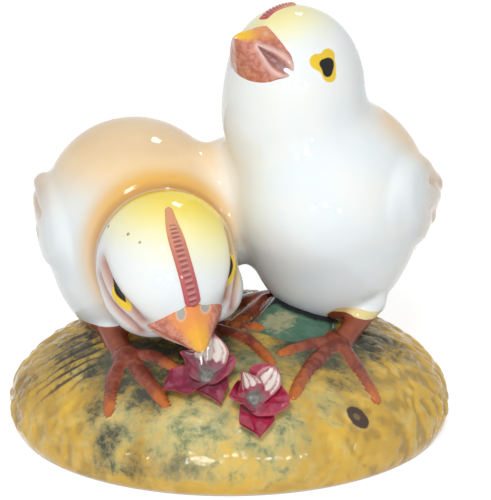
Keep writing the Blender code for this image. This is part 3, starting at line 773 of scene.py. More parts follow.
def moundSurface():
    # Rings from the crown down the superellipse, round the foot and in along the underside
    angle = np.linspace(np.pi / 2, 0, mound["rows"] + 1)[1:]
    power = 2 / mound["power"]
    out = np.cos(angle) ** power
    height = mound["foot"] + (crownHeight - mound["foot"]) * np.sin(angle) ** power
    drop = np.linspace(0, 1, mound["footRows"] + 1)[1:]
    inset = 2 * mound["inset"] / mound["width"]
    out = np.concatenate([out, 1 - inset * drop**2.2])
    height = np.concatenate([height, mound["foot"] * (1 - drop**1.1)])
    edge = len(out)
    inner = np.linspace(1, 0, mound["undersideRows"] + 1)[1:-1]
    out = np.concatenate([out, (1 - inset) * inner])
    height = np.concatenate([height, 0 * inner])
    turn = np.linspace(0, 2 * np.pi, mound["around"], endpoint=False)
    x = mound["width"] / 2 * out[:, None] * np.cos(turn)
    y = mound["depth"] / 2 * out[:, None] * np.sin(turn)
    z = height[:, None] + 0 * x
    rings = np.stack([x, y, z], axis=-1)
    down = np.gradient(rings, axis=0)
    sideways = np.roll(rings, -1, axis=1) - np.roll(rings, 1, axis=1)
    normal = np.cross(down, sideways)
    normal /= np.maximum(np.linalg.norm(normal, axis=-1), 1e-9)[..., None]
    slope = np.concatenate([[0], np.cumsum(np.linalg.norm(np.diff(rings[:, 0], axis=0), axis=1))])
    flat = rings.reshape(-1, 3)
    top = np.zeros(out.shape)
    top[:edge] = 1
    top[edge - mound["footRows"]:edge] = 1 - drop
    top = (top[:, None] + 0 * x).ravel()
    plan = flat[:, :2]

    # Dabs: noise stretched down the slope, ridged where it crosses nought
    stretch = [np.cos(turn) * 50 + 0 * x, np.sin(turn) * 50 + 0 * x, slope[:, None] * 0.62 + 0 * x]
    stretch = np.stack(stretch, axis=-1).reshape(-1, 3)
    dabs = cloud(stretch + 1.5 * cloud(flat, 7.0, 11)[:, None], 2.0, 12)
    dabs = 0.85 * dabs + 0.3 * cloud(flat, 1.5, 13)
    lean = flat @ np.array([[0.8, -0.62, 0], [0.5, 0.9, 0], [0, 0.8, 0.3]])
    ripples = np.sin(lean[:, 1] * 1.75 + 2.2 * cloud(flat, 6.0, 14)) * (0.6 + 0.4 * cloud(lean, 5.0, 15))
    rippleArea = np.exp(-(((flat[:, 0] + 41) / 11) ** 2 + ((flat[:, 1] + 12) / 13) ** 2) ** 1.5)
    calm = step(0.30, 0.62, np.hypot(2 * flat[:, 0] / mound["width"], 2 * flat[:, 1] / mound["depth"]))
    smoothFront = np.exp(-((flat[:, 0] - 2) / 24) ** 4) * step(-22, -34, flat[:, 1])
    dabShare = (0.35 + 0.65 * calm) * (1 - rippleArea) * (1 - 0.8 * smoothFront)
    relief = mound["dabHeight"] * (np.tanh(3.0 * dabs) - 0.7) * dabShare
    relief = relief + mound["rippleHeight"] * ripples * rippleArea

    footLift = np.zeros(len(flat))
    reach = np.full(len(flat), 1e9)
    toeMark = np.zeros(len(flat))
    toeEnd = np.zeros(len(flat))
    halo = np.zeros(len(flat))
    for foot, (joint, stops) in toes.items():
        scale = toeScale.get(foot, 1.0)
        centre = onMound(*joint)
        away = np.linalg.norm((flat - centre) / (1, 1, 1.2), axis=1)
        dome = np.sqrt(np.clip(1 - (2 * away / toe["knuckle"]) ** 2, 0, 1))
        lift = toe["knuckleHeight"] * dome
        mark = step(0.0, 0.25, dome)
        halo = np.maximum(halo, np.exp(-np.clip(away - toe["knuckle"] / 2, 0, 50) / 5.0))
        reach = np.minimum(reach, away - toe["knuckle"] / 2)
        for knots in stops:
            path = rounded([joint, *knots], 20)
            path = np.stack([path[:, 0], path[:, 1], domeHeight(path[:, 0], path[:, 1])], axis=-1)
            away, share = alongPath(flat, path)
            knob = 1 + 0.07 * np.sin(2 * np.pi * share * 2.6)
            half = scale * toe["width"] / 2 * (1 - toe["taper"] * share**2.2) * knob
            ridge = np.sqrt(np.clip(1 - (away / half) ** 2, 0, 1))
            lift = -smoothMin(-lift, -scale * toe["height"] * (1 - 0.35 * share) * ridge, 0.5)
            mark = np.maximum(mark, step(0.0, 0.35, ridge))
            toeEnd = np.maximum(toeEnd, share * step(1.6, 0.9, away / half))
            halo = np.maximum(halo, np.exp(-np.clip(away - half, 0, 50) / 5.0) * (1 - 0.8 * share))
            reach = np.minimum(reach, away - half)
        footLift = np.maximum(footLift, lift)
        toeMark = np.maximum(toeMark, mark)
    relief = relief * (0.1 + 0.9 * step(0.5, 4.0, reach)) + footLift

    rockRise = np.clip(rockHeight(flat[:, 0], flat[:, 1]) - flat[:, 2], -5, 9)
    rockLift = -smoothMin(-rockRise, np.zeros(len(flat)), 1.0)
    rockMark = step(-0.4, 0.5, rockRise) * top
    away = fromOval(flat[:, 0], flat[:, 1], peckingRock["place"], peckingRock["reach"])
    lump = peckingRock["height"] * step(1.15, 0.55, away)
    relief = relief * (1 - 0.6 * rockMark)
    extra = np.maximum(rockLift, lump)
    onRock = flat + np.array([0, 0, 1.0]) * rockLift[:, None]
    edgeAway, _ = alongPath(onRock, rockEdge)
    # Painted shadow: the band where the belly meets the rock is darkened with the rock's edge
    bellyAway = ballField(onRock, *standingBalls[1][:3])
    edgeAway = np.minimum(edgeAway, np.abs(bellyAway))

    away = np.hypot(*((plan - pit["place"]) / (1.0, pit["squash"])).T)
    ring = 0.5 * np.exp(-(((away - pit["width"] / 2) / 0.7) ** 2))
    relief = relief * step(1.6, 3.4, away) + ring * 0.7 - pit["depth"] * 0.5 * np.exp(-(away / 1.2) ** 4)

    moved = flat + normal.reshape(-1, 3) * (relief * top)[:, None]
    moved[:, 2] += extra * top
    moved[:, 2] = np.where(top > 0, np.maximum(moved[:, 2], 0.0), 0.0)
    rings = moved.reshape(rings.shape)[::-1]
    crown = np.array([0, 0, rings[-1, :, 2].mean()])
    shell, faces = closedShell(rings, [(0, 0, 0), crown])

    def kept(values):
        return np.append(np.asarray(values).reshape(rings.shape[:2])[::-1].ravel(), (0, 0))

    marks = {
        # Darker in the dabs' hollows: glaze pooled there, and partly painted shade
        "hollowPoolAndShade": kept(step(0.25, -0.45, dabs) * dabShare),
        "toeMark": kept(toeMark * top),
        "toeEnd": kept(toeEnd),
        "halo": kept(halo * top),
        "rockMark": kept(rockMark),
        "pitMark": kept(np.exp(-(away / 2.9) ** 6) * top),
        "pitHeart": kept(np.exp(-(away / 1.0) ** 4) * top),
        "glazed": kept(top),
        "rockEdge": kept(np.exp(-(edgeAway / 2.3) ** 2) * rockMark),
        "rippleMark": kept(rippleArea * step(0.2, -0.7, ripples)),
    }
    for name, blobs in moundPaint.items():
        total = np.zeros(len(flat))
        for px, py, wide, deep, strength in blobs:
            away = ((plan[:, 0] - px) / wide) ** 2 + ((plan[:, 1] - py) / deep) ** 2
            total = np.maximum(total, strength * np.exp(-away))
        marks[name] = kept(total * top)
    return putMesh("grassMound", shell, faces, marks)


# Brushed areas: x, y, half width, half depth and strength, on the plan
moundPaint = {
    # Dark brush marks round the feet, and painted shadow under the chicks' heads and bodies
    "darkPaintAndShadow": [
        (-33, -30, 5, 4, 0.8), (-30, -36, 6, 3, 0.8), (-25, -40.5, 6, 2.5, 0.75), (-25, -26, 8, 4, 0.95),
        (-34, -19, 6, 6, 0.85), (-17, -33.5, 6, 3, 0.6), (-8, -32, 5, 2.5, 0.5), (-42, -4, 8, 7, 0.8),
        (-40, -9, 11, 10, 0.85), (-22, -18, 15, 10, 1.1), (-13, -25, 10, 6, 1.0), (-8, -17, 14, 9, 1.0),
        (42, -3, 8, 6, 0.95), (45, -8, 6, 5, 0.75), (34, -8, 11, 8, 1.0), (24, -19, 10, 6, 0.8),
        (-19, -30, 9, 4.5, 1.0), (27, -25, 6, 4, 0.6), (-35, -2, 9, 8, 0.9), (18, -14, 10, 6, 0.9),
        (-6, 20, 34, 20, 0.8), (20, 26, 24, 12, 0.7), (12, -37, 6, 4, 0.3), (-44, -20, 5, 5, 0.35),
    ],
    "greenPaint": [
        (6, -22, 11, 7, 1.0), (15, -18, 9, 6, 1.0), (11, -28, 7, 6, 0.75), (0, -18, 9, 6, 0.7),
        (-18, -33, 9, 4, 0.55), (-8, -35, 9, 4, 0.55), (6, -41, 8, 6, 0.5), (-2, -38, 8, 5, 0.6),
        (18, -37, 8, 5, 0.4), (23, -31, 7, 5, 0.3),
        (16, -6, 14, 10, 0.9), (-30, 24, 20, 12, 0.6), (34, 20, 14, 12, 0.5), (2, 36, 22, 8, 0.4),
    ],
    "olivePaint": [
        (-8, -38, 16, 9, 1.0), (8, -38, 16, 8, 0.9), (-28, -34, 12, 9, 0.8), (24, -30, 12, 9, 0.6),
        (0, -28, 30, 10, 0.6),
        (-50, 4, 8, 14, 0.4), (-36, -18, 10, 10, 0.5), (30, -18, 12, 8, 0.5),
    ],
    "rockPatch": [(13.0, -6.0, 5.5, 5.0, 1.0)],
    "rockBack": [(3.0, 0.0, 6.5, 9.0, 1.3), (6.0, 10.0, 8.0, 6.0, 1.2)],
    "brownPaint": [
        (-19, -43, 24, 3, 0.6), (-40, -34, 12, 8, 0.4), (-55, -12, 7, 14, 0.6), (-48, 8, 10, 14, 0.5),
        (-4, -9, 14, 10, 0.6), (4, -8, 8, 8, 0.5),
    ],
}
grassMound = moundSurface()
print("mound:", len(grassMound.data.polygons), "faces with toes, rocks and dabs")


# Flowers

# Each petal: turn anticlockwise from the back and rise, in degrees, how pale it is, its length
# and width in millimetres, and how far it draws to a point
flowers = {
    "leftFlower": {
        "place": (-5.3, -28.6), "redness": 0.25,
        "petals": [
            (62, 36, 0.55, 9.5, 7.0, 0.8), (-14, 44, 0.85, 11.0, 10.5, 0.5), (-78, 30, 0.15, 9.0, 8.0, 0.6),
            (116, 4, 0.0, 12.0, 8.5, 0.9), (-158, -4, 0.0, 9.5, 8.5, 0.8),
        ],
    },
    "rightFlower": {
        "place": (6.0, -34.2), "redness": 1.0,
        "petals": [
            (34, 50, 0.75, 8.6, 6.4, 0.6), (-42, 30, 0.75, 10.0, 9.0, 0.25), (-104, 14, 0.0, 9.6, 9.8, 0.3),
            (-170, -6, 0.0, 10.8, 8.6, 0.7), (108, 34, 0.0, 8.0, 8.4, 0.3),
        ],
    },
}
petal = {
    "thickness": 1.4, "curl": 0.10, "cupping": 0.15, "root": 0.34, "arc": (0.16, 0.74), "point": 0.66,
    "cup": (5.4, 5.4, 4.4), "wave": 0.55,
}


def moundAxes(x, y):
    # Axes square on the mound's slope, with the first one level
    reach = 1.0
    slopeX = (domeHeight(x + reach, y) - domeHeight(x - reach, y)) / 2
    slopeY = (domeHeight(x, y + reach) - domeHeight(x, y - reach)) / 2
    up = np.array([-slopeX, -slopeY, 1.0])
    up /= np.linalg.norm(up)
    across = np.array([1.0, 0, 0]) - up * up[0]
    across /= np.linalg.norm(across)
    return np.stack([across, np.cross(up, across), up], axis=1)


def petalRings(axes, seat, shape, seed):
    # Lens section carried along the petal: width swells as a sine and draws to a point, the
    # middle line curls up, the edges cup and roll, and the rim is waved a little
    turn, rise, _, length, width, pointed = shape
    s = np.linspace(0.0, 1.0, 44)[:, None]
    around = np.linspace(0, 2 * np.pi, 48, endpoint=False)[None, :]
    side = np.cos(around)
    arc = petal["arc"][0] + petal["arc"][1] * s
    swell = petal["root"] + (1 - petal["root"]) * np.sin(np.pi * np.minimum(1, arc)) ** 0.8
    share = np.clip(s - petal["point"], 0, 1) / (1 - petal["point"])
    swell = swell * ((1 - 0.9 * share) * pointed + np.sqrt(np.clip(1 - share**2.4, 0.01, 1)) * (1 - pointed))
    rim = 1 - 0.55 * np.abs(side) ** 2
    wave = petal["wave"] * np.sin(8 * s + seed + 1.5 * side) * side * np.abs(side) * step(0.2, 0.6, s)
    roll = 0.9 * np.sin(2 + seed) * np.clip(side, 0, 1) ** 3 * step(0.1, 0.5, s)
    middle = petal["curl"] * s**1.6 * length + petal["cupping"] * length * side**2 * swell
    fold = -0.45 * np.exp(-(side / 0.22) ** 2) * step(0.05, 0.3, s)
    thick = petal["thickness"] / 2 * np.sin(around) * rim * (1 - 0.45 * s**3)
    local = np.stack([
        side * swell * width / 2 * (1 + 0.12 * np.sin(5 * s + 2 * seed)),
        s * length * (1 - 0.05 * side**2 * np.cos(seed)) + 0 * side,
        middle + wave + roll + fold * (np.sin(around) > -0.2) + thick,
    ], axis=-1)
    placed = axes @ turned(turn, 0) @ turned(0, rise)
    rings = local @ placed.T + seat
    return rings[::-1], s + 0 * side, side + 0 * s


def flowerSurface(name, flower):
    # Five petals and a cup on the mound's slope
    x, y = flower["place"]
    axes = moundAxes(x, y)
    seat = onMound(x, y, 1.3)
    points, faces, count = [], [], 0
    marks = {"along": [], "across": [], "pale": [], "redness": []}
    for number, shape in enumerate(flower["petals"]):
        rings, s, side = petalRings(axes, seat, shape, number * 1.7)
        shell, shellFaces = closedShell(rings, [rings[0].mean(axis=0), rings[-1].mean(axis=0)], count)
        points.append(shell)
        faces += shellFaces
        marks["along"].append(np.append(s[::-1].ravel(), (1, 0)))
        marks["across"].append(np.append(side[::-1].ravel(), (0, 0)))
        marks["pale"].append(np.full(len(shell), float(shape[2])))
        marks["redness"].append(np.full(len(shell), flower["redness"]))
        count += len(shell)
    marks = {mark: np.concatenate(values) for mark, values in marks.items()}
    made = putMesh(name, np.concatenate(points), faces, marks)
    cup, cupFaces = ballSurface(seat, axes, petal["cup"], 0)
    heart = putMesh(name + "Cup", cup, cupFaces)
    return made, heart


flowerPieces, cupPieces = {}, {}
for flowerName, flower in flowers.items():
    flowerPieces[flowerName], cupPieces[flowerName + "Cup"] = flowerSurface(flowerName, flower)
print("flowers: ten petals round two cups")


# Paints and glazes

class Value:
    # A number that a node gives out; sums of Values add their Math nodes
    def __init__(self, paint, socket):
        self.paint = paint
        self.socket = socket

    def maths(self, operation, *others):
        return self.paint.add("ShaderNodeMath", {"operation": operation}, dict(enumerate((self, *others))))

    def __add__(self, other):
        return self.maths("ADD", other)

    def __sub__(self, other):
        return self.maths("SUBTRACT", other)

    def __rsub__(self, other):
        return self.paint.add("ShaderNodeMath", {"operation": "SUBTRACT"}, {0: other, 1: self})

    def __mul__(self, other):
        return self.maths("MULTIPLY", other)

    def __truediv__(self, other):
        return self.maths("DIVIDE", other)

    def __pow__(self, other):
        return self.maths("POWER", other)

    __radd__ = __add__
    __rmul__ = __mul__


class Paint:
    # One glaze: its material and the nodes that it is mixed from
    def __init__(self, name):
        self.material = bpy.data.materials.new(name)
        self.material.use_nodes = True
        self.nodes = self.material.node_tree.nodes
        self.shader = self.nodes["Principled BSDF"]
        self.object = self.add("ShaderNodeTexCoord", out="Object")

    def link(self, target, value):
        if isinstance(value, Value):
            self.material.node_tree.links.new(value.socket, target)
        elif isinstance(value, tuple) and len(value) == 3 and target.type == "RGBA":
            target.default_value = (*value, 1.0)
        else:
            target.default_value = value

    def add(self, kind, settings=None, inputs=None, out=0):
        node = self.nodes.new(kind)
        for key, value in (settings or {}).items():
            setattr(node, key, value)
        for key, value in (inputs or {}).items():
            self.link(node.inputs[key], value)
        return Value(self, node.outputs[out])

    def mark(self, name):
        return self.add("ShaderNodeAttribute", {"attribute_name": name}, out="Fac")

    def noise(self, size, detail=3.0, rough=0.5, warp=0.0, squeeze=None):
        # Noise whose grains are about size millimetres across; squeeze shortens them along x, y, z
        place = self.object
        if squeeze:
            place = self.add("ShaderNodeVectorMath", {"operation": "MULTIPLY"}, {0: place, 1: squeeze})
        inputs = {"Vector": place, "Scale": 1 / (size * millimetre), "Detail": detail, "Roughness": rough}
        return self.add("ShaderNodeTexNoise", None, {**inputs, "Distortion": warp}, "Fac")

    def step(self, low, high, value):
        # A smooth S from 0 at low to 1 at high; falls where low is above high
        inputs = {"Value": value, "From Min": low, "From Max": high}
        return self.add("ShaderNodeMapRange", {"interpolation_type": "SMOOTHSTEP"}, inputs, "Result")

    def blend(self, factor, below, above):
        return self.add("ShaderNodeMix", {"data_type": "RGBA"}, {0: factor, 6: below, 7: above}, 2)

    def lay(self, share, shade):
        # One more layer of glaze over the colours so far
        self.colour = self.blend(share, self.colour, shade)

    def flatPlace(self, centre, across, up):
        # Millimetres across and up from a centre, on a flat sheet laid there
        inputs = {0: self.object, 1: tuple(np.array(centre) * millimetre)}
        away = self.add("ShaderNodeVectorMath", {"operation": "SUBTRACT"}, inputs)
        found = []
        for axis in (across, up, np.cross(across, up)):
            inputs = {0: away, 1: tuple(np.array(axis) / millimetre)}
            found.append(self.add("ShaderNodeVectorMath", {"operation": "DOT_PRODUCT"}, inputs, "Value"))
        return found

    def finish(self, rough=0.07, bump=None, height=0.1, coat=0.10, bend=1.38):
        self.link(self.shader.inputs["Base Color"], self.colour)
        self.link(self.shader.inputs["Roughness"], rough)
        self.shader.inputs["IOR"].default_value = bend
        self.shader.inputs["Coat Weight"].default_value = coat
        self.shader.inputs["Coat Roughness"].default_value = 0.03
        if bump is not None:
            inputs = {"Height": bump, "Distance": height * millimetre, "Strength": 1.0}
            self.link(self.shader.inputs["Normal"], self.add("ShaderNodeBump", None, inputs, "Normal"))
        return self.material


def lobe(a, b, place, radius):
    # Distance beyond a disc's edge, in millimetres
    across = a - place[0]
    up = b - place[1]
    return (across * across + up * up) ** 0.5 - radius


def outline(a, b, discs, joined):
    # Signed distance to discs merged as a union, or overlapped as a lens
    edge = lobe(a, b, *discs[0])
    for disc in discs[1:]:
        edge = edge.maths(joined, lobe(a, b, *disc), 1.7 if joined == "SMOOTH_MIN" else 0.2)
    return edge


# blueShade and creaseShade are colours of painted shade
glazeColours = {
    "white": (0.82, 0.88, 0.90), "milk": (0.93, 0.91, 0.85), "blueShade": (0.62, 0.70, 0.80),
    "peach": (0.92, 0.65, 0.32), "tan": (0.56, 0.33, 0.15), "crown": (0.95, 0.72, 0.03),
    "crownPale": (0.97, 0.89, 0.34), "collar": (0.80, 0.44, 0.05), "creaseShade": (0.42, 0.15, 0.09),
    "legRed": (0.20, 0.04, 0.022), "thighYellow": (0.78, 0.62, 0.20), "eyeYellow": (0.83, 0.56, 0.03),
    "eyeBlack": (0.002, 0.002, 0.003), "speck": (0.30, 0.16, 0.06),
}

def slitAxes(face, back, front, out):
    # Along an eye's slit from its back to its front, and up square to that and to out
    ends = faceToWorld(face, np.array([back, front]))
    along = (ends[1] - ends[0]) / np.linalg.norm(ends[1] - ends[0])
    up = np.cross(np.asarray(out), along)
    return along, up / np.linalg.norm(up)


def almond(place, length, height):
    # A lens as two discs whose overlap is length long and height high
    radius = (length**2 + height**2) / (4 * height)
    off = radius - height / 2
    return [((place[0], place[1] + off), radius), ((place[0], place[1] - off), radius)]


leftSlit = slitAxes(peckFace, (-16.5, 5.5, 2.9), (-14.6, 10.5, 0.3), (-0.68, -0.73, -0.10))
rightSlit = slitAxes(peckFace, (13.4, 8.1, 8.6), (11.2, 13.4, 5.6), (0.90, -0.40, 0.05))
eyes = {
    "standingLeft": {
        "centre": faceToWorld(standFace, (14.4, 5.4, 0.5)) - (0.5, 0, 0), "across": imageRight, "up": imageUp,
        "joined": "SMOOTH_MIN",
        "patch": [((0.5, 3.0), 1.5), ((-2.2, 1.1), 1.9), ((0.8, -1.9), 1.7), ((0.2, 0.4), 2.2)],
        "pupil": [((0.7, 1.2), 1.05), ((-0.7, 0.7), 1.0), ((0.3, -1.3), 1.15), ((0.5, 0.2), 1.3)],
    },
    "standingRight": {
        "centre": faceToWorld(standFace, (-14.4, 5.4, 0.5)), "across": -standFace["axes"][:, 1],
        "up": standFace["axes"][:, 2], "joined": "SMOOTH_MIN",
        "patch": [((-0.5, 3.0), 1.5), ((2.2, 1.1), 1.9), ((-0.8, -1.9), 1.7), ((-0.2, 0.4), 2.2)],
        "pupil": [((-0.7, 1.2), 1.05), ((0.7, 0.7), 1.0), ((-0.3, -1.3), 1.15), ((-0.5, 0.2), 1.3)],
    },
    "peckingLeft": {
        "centre": faceToWorld(peckFace, (-15.7, 8.2, 1.6)), "across": leftSlit[0], "up": leftSlit[1],
        "joined": "SMOOTH_MAX",
        "patch": almond((1.6, -0.3), 8.4, 3.5), "pupil": almond((0.0, 0.0), 7.0, 2.2),
    },
    "peckingRight": {
        "centre": faceToWorld(peckFace, (12.4, 10.8, 7.4)), "across": rightSlit[0], "up": rightSlit[1],
        "joined": "SMOOTH_MAX",
        "patch": almond((0.6, 0.2), 9.2, 4.6), "pupil": almond((0.0, 0.0), 7.0, 2.8),
    },
}
specks = [
    ((-29.2, -15.7, 61.3), 0.55), ((-23.8, -22.1, 61.6), 0.5),
    ((-20.9, -24.6, 60.5), 0.4), ((-13.0, -26.0, 59.8), 0.6),
]


def chickGlaze():
    # White glaze with sprayed peach, yellow crowns, painted shade underneath, low down and in the creases,
    # legs, eyes and specks laid over it
    shades = glazeColours
    paint = Paint("paintedChickGlaze")
    soft = paint.noise(16.0, 2.0)
    fine = paint.noise(2.6, 4.0, 0.6)
    paint.colour = paint.blend(paint.step(0.35, 0.7, soft) * 0.5, shades["white"], shades["milk"])
    # Painted shade: blue-grey laid on the undersides
    paint.lay(paint.mark("underside") * 0.4, shades["blueShade"])
    back = paint.mark("backPaint")
    spray = paint.step(0.0, 0.95, back + (fine - 0.5) * 0.10)
    paint.lay(spray * 0.85, shades["peach"])
    paint.lay(paint.step(0.80, 1.15, back + (soft - 0.5) * 0.4) * 0.35, shades["tan"])
    # Orange airbrush round the head, partly painted shade of the collar crease
    paint.lay(paint.step(0.0, 0.9, paint.mark("collarPaintAndShade")) * 0.9, shades["collar"])
    wings = paint.step(0.05, 1.1, paint.mark("wingPaint") + (soft - 0.5) * 0.3)
    paint.lay(wings * 0.65, shades["tan"])
    # Painted shade: tan along the wing grooves
    paint.lay(paint.mark("grooveShade") * 0.5, shades["tan"])
    crown = paint.mark("peckingCrown")
    paint.lay(paint.step(0.46, 0.86, crown + (fine - 0.5) * 0.05) * 0.85, shades["crownPale"])
    paint.lay(paint.step(0.70, 0.98, crown + (soft - 0.5) * 0.10) * 0.9, shades["crown"])
    crown = paint.mark("standingCrown")
    paint.lay(paint.step(0.74, 1.0, crown + (fine - 0.5) * 0.06) * 0.7, shades["crownPale"])
    paint.lay(paint.step(0.90, 1.0, crown + (soft - 0.5) * 0.06) * 0.25, shades["crown"])
    # Painted shade along the crease where the head meets the neck
    paint.lay(paint.mark("collarShadeLine") * 0.5, shades["creaseShade"])
    # Painted shade in the face's furrows
    paint.lay(paint.mark("furrowShade") * 0.9, shades["creaseShade"])
    # Painted shade near the mound: blue-grey low on the chicks
    low = paint.step(0.2, 1.0, paint.mark("lowShade") + (soft - 0.5) * 0.4)
    paint.lay(low * 0.35, shades["blueShade"])
    thigh = paint.step(0.35, 0.65, paint.mark("thighPaint") + (fine - 0.5) * 0.5)
    paint.lay(thigh * 0.85, shades["thighYellow"])
    leg = paint.step(0.4, 0.6, paint.mark("legPaint") + (fine - 0.5) * 0.4)
    paint.lay(leg, paint.blend(fine, shades["legRed"], (0.34, 0.09, 0.04)))
    for eye in eyes.values():
        a, b, ahead = paint.flatPlace(eye["centre"], eye["across"], eye["up"])
        near = paint.step(-6.0, -4.0, ahead)
        near = near * paint.step(14.0, 11.0, a.maths("ABSOLUTE") + b.maths("ABSOLUTE"))
        edge = outline(a, b, eye["patch"], eye["joined"]) + (fine - 0.5) * 0.5
        paint.lay(paint.step(0.25, -0.1, edge) * near, shades["eyeYellow"])
        edge = outline(a, b, eye["pupil"], eye["joined"]) + (fine - 0.5) * 0.25
        paint.lay(paint.step(0.15, -0.15, edge) * near, shades["eyeBlack"])
    places, _ = onSkin(np.array([place for place, _ in specks]))
    for place, (_, size) in zip(places * millimetre, specks):
        inputs = {0: paint.object, 1: tuple(place)}
        away = paint.add("ShaderNodeVectorMath", {"operation": "DISTANCE"}, inputs, "Value")
        paint.lay(paint.step(1.2, 0.5, away / (size * millimetre)) * 0.8, shades["speck"])
    return paint.finish(0.06 + 0.03 * soft, paint.noise(5.0, 2.0), 0.04)


def plainGlaze(name, shades, size):
    # Two shades of one glaze, mixed in fine grains
    paint = Paint(name)
    fine = paint.noise(size, 4.0, 0.6)
    paint.colour = paint.blend(paint.step(0.3, 0.7, fine), *shades)
    return paint.finish(0.08, fine, 0.05)


def beakGlaze():
    # Salmon sides, orange along the ridge, and yellow towards the tip, with painted shade in the mouth slots
    # and painted highlights on their lips
    paint = Paint("paintedBeakGlaze")
    fine = paint.noise(1.8, 5.0, 0.65)
    tip = paint.mark("tipward")
    top = paint.mark("topward")
    paint.colour = paint.blend(paint.step(0.3, 0.7, fine), (0.46, 0.12, 0.075), (0.72, 0.31, 0.21))
    ridge = paint.step(0.35, 1.0, top) * paint.step(-0.1, 0.6, tip)
    paint.lay(paint.step(0.0, 0.8, ridge + (fine - 0.5) * 0.3), (0.82, 0.30, 0.08))
    yellow = paint.step(0.72, 1.10, tip + 0.28 * top + (fine - 0.5) * 0.25) * paint.mark("yellowShare")
    paint.lay(yellow * 0.95, (0.93, 0.55, 0.01))
    # Painted highlight: pale pink along the lips of the mouth slots
    paint.lay(paint.mark("lipHighlight") * 0.7, (0.86, 0.62, 0.58))
    # Painted shade: darker inside the mouth slots
    inner = paint.blend(paint.step(0.35, 0.65, fine), (0.30, 0.11, 0.10), (0.36, 0.25, 0.25))
    paint.lay(paint.mark("slotShade") * 0.9, inner)
    nostril = paint.mark("nostrilMark")
    paint.lay(paint.step(0.02, 0.3, nostril) * 0.8, (0.74, 0.50, 0.36))
    paint.lay(paint.step(0.35, 0.7, nostril), (0.42, 0.38, 0.34))
    paint.lay(paint.step(0.985, 1.0, tip + (fine - 0.5) * 0.02), (0.80, 0.78, 0.72))
    return paint.finish(0.08, fine, 0.06)


def combGlaze():
    # Pale orange behind to crimson in front, with painted shade between the ribs and painted highlights on
    # them
    paint = Paint("paintedCombGlaze")
    fine = paint.noise(1.6, 3.0, 0.6)
    forward = paint.step(0.1, 0.95, paint.mark("forward") + (fine - 0.5) * 0.3)
    paint.colour = paint.blend(forward, (0.72, 0.33, 0.17), (0.50, 0.09, 0.11))
    # Painted shade between the ribs
    paint.lay(paint.mark("gapShade") * 0.75, (0.24, 0.06, 0.06))
    # Painted highlight: pale glints on the ribs
    paint.lay(paint.mark("ribHighlight") * 0.4, (0.78, 0.50, 0.45))
    return paint.finish(0.08, fine, 0.04)


moundColours = {
    "ochre": (0.56, 0.35, 0.060), "gold": (0.76, 0.47, 0.055), "olive": (0.20, 0.20, 0.075),
    "straw": (0.70, 0.60, 0.27), "umber": (0.40, 0.22, 0.040), "sage": (0.36, 0.40, 0.20),
    "deepGreen": (0.065, 0.075, 0.050), "dark": (0.028, 0.032, 0.028), "green": (0.07, 0.14, 0.085),
    "paleGreen": (0.24, 0.28, 0.15), "brown": (0.14, 0.075, 0.04), "toeRed": (0.17, 0.032, 0.018),
    "toeBrown": (0.30, 0.080, 0.045), "toeOrange": (0.62, 0.17, 0.025), "rock": (0.065, 0.15, 0.095),
    "rockBeige": (0.42, 0.38, 0.22), "rockEdgeDarkAndShadow": (0.014, 0.018, 0.018), "clay": (0.70, 0.66, 0.58),
}


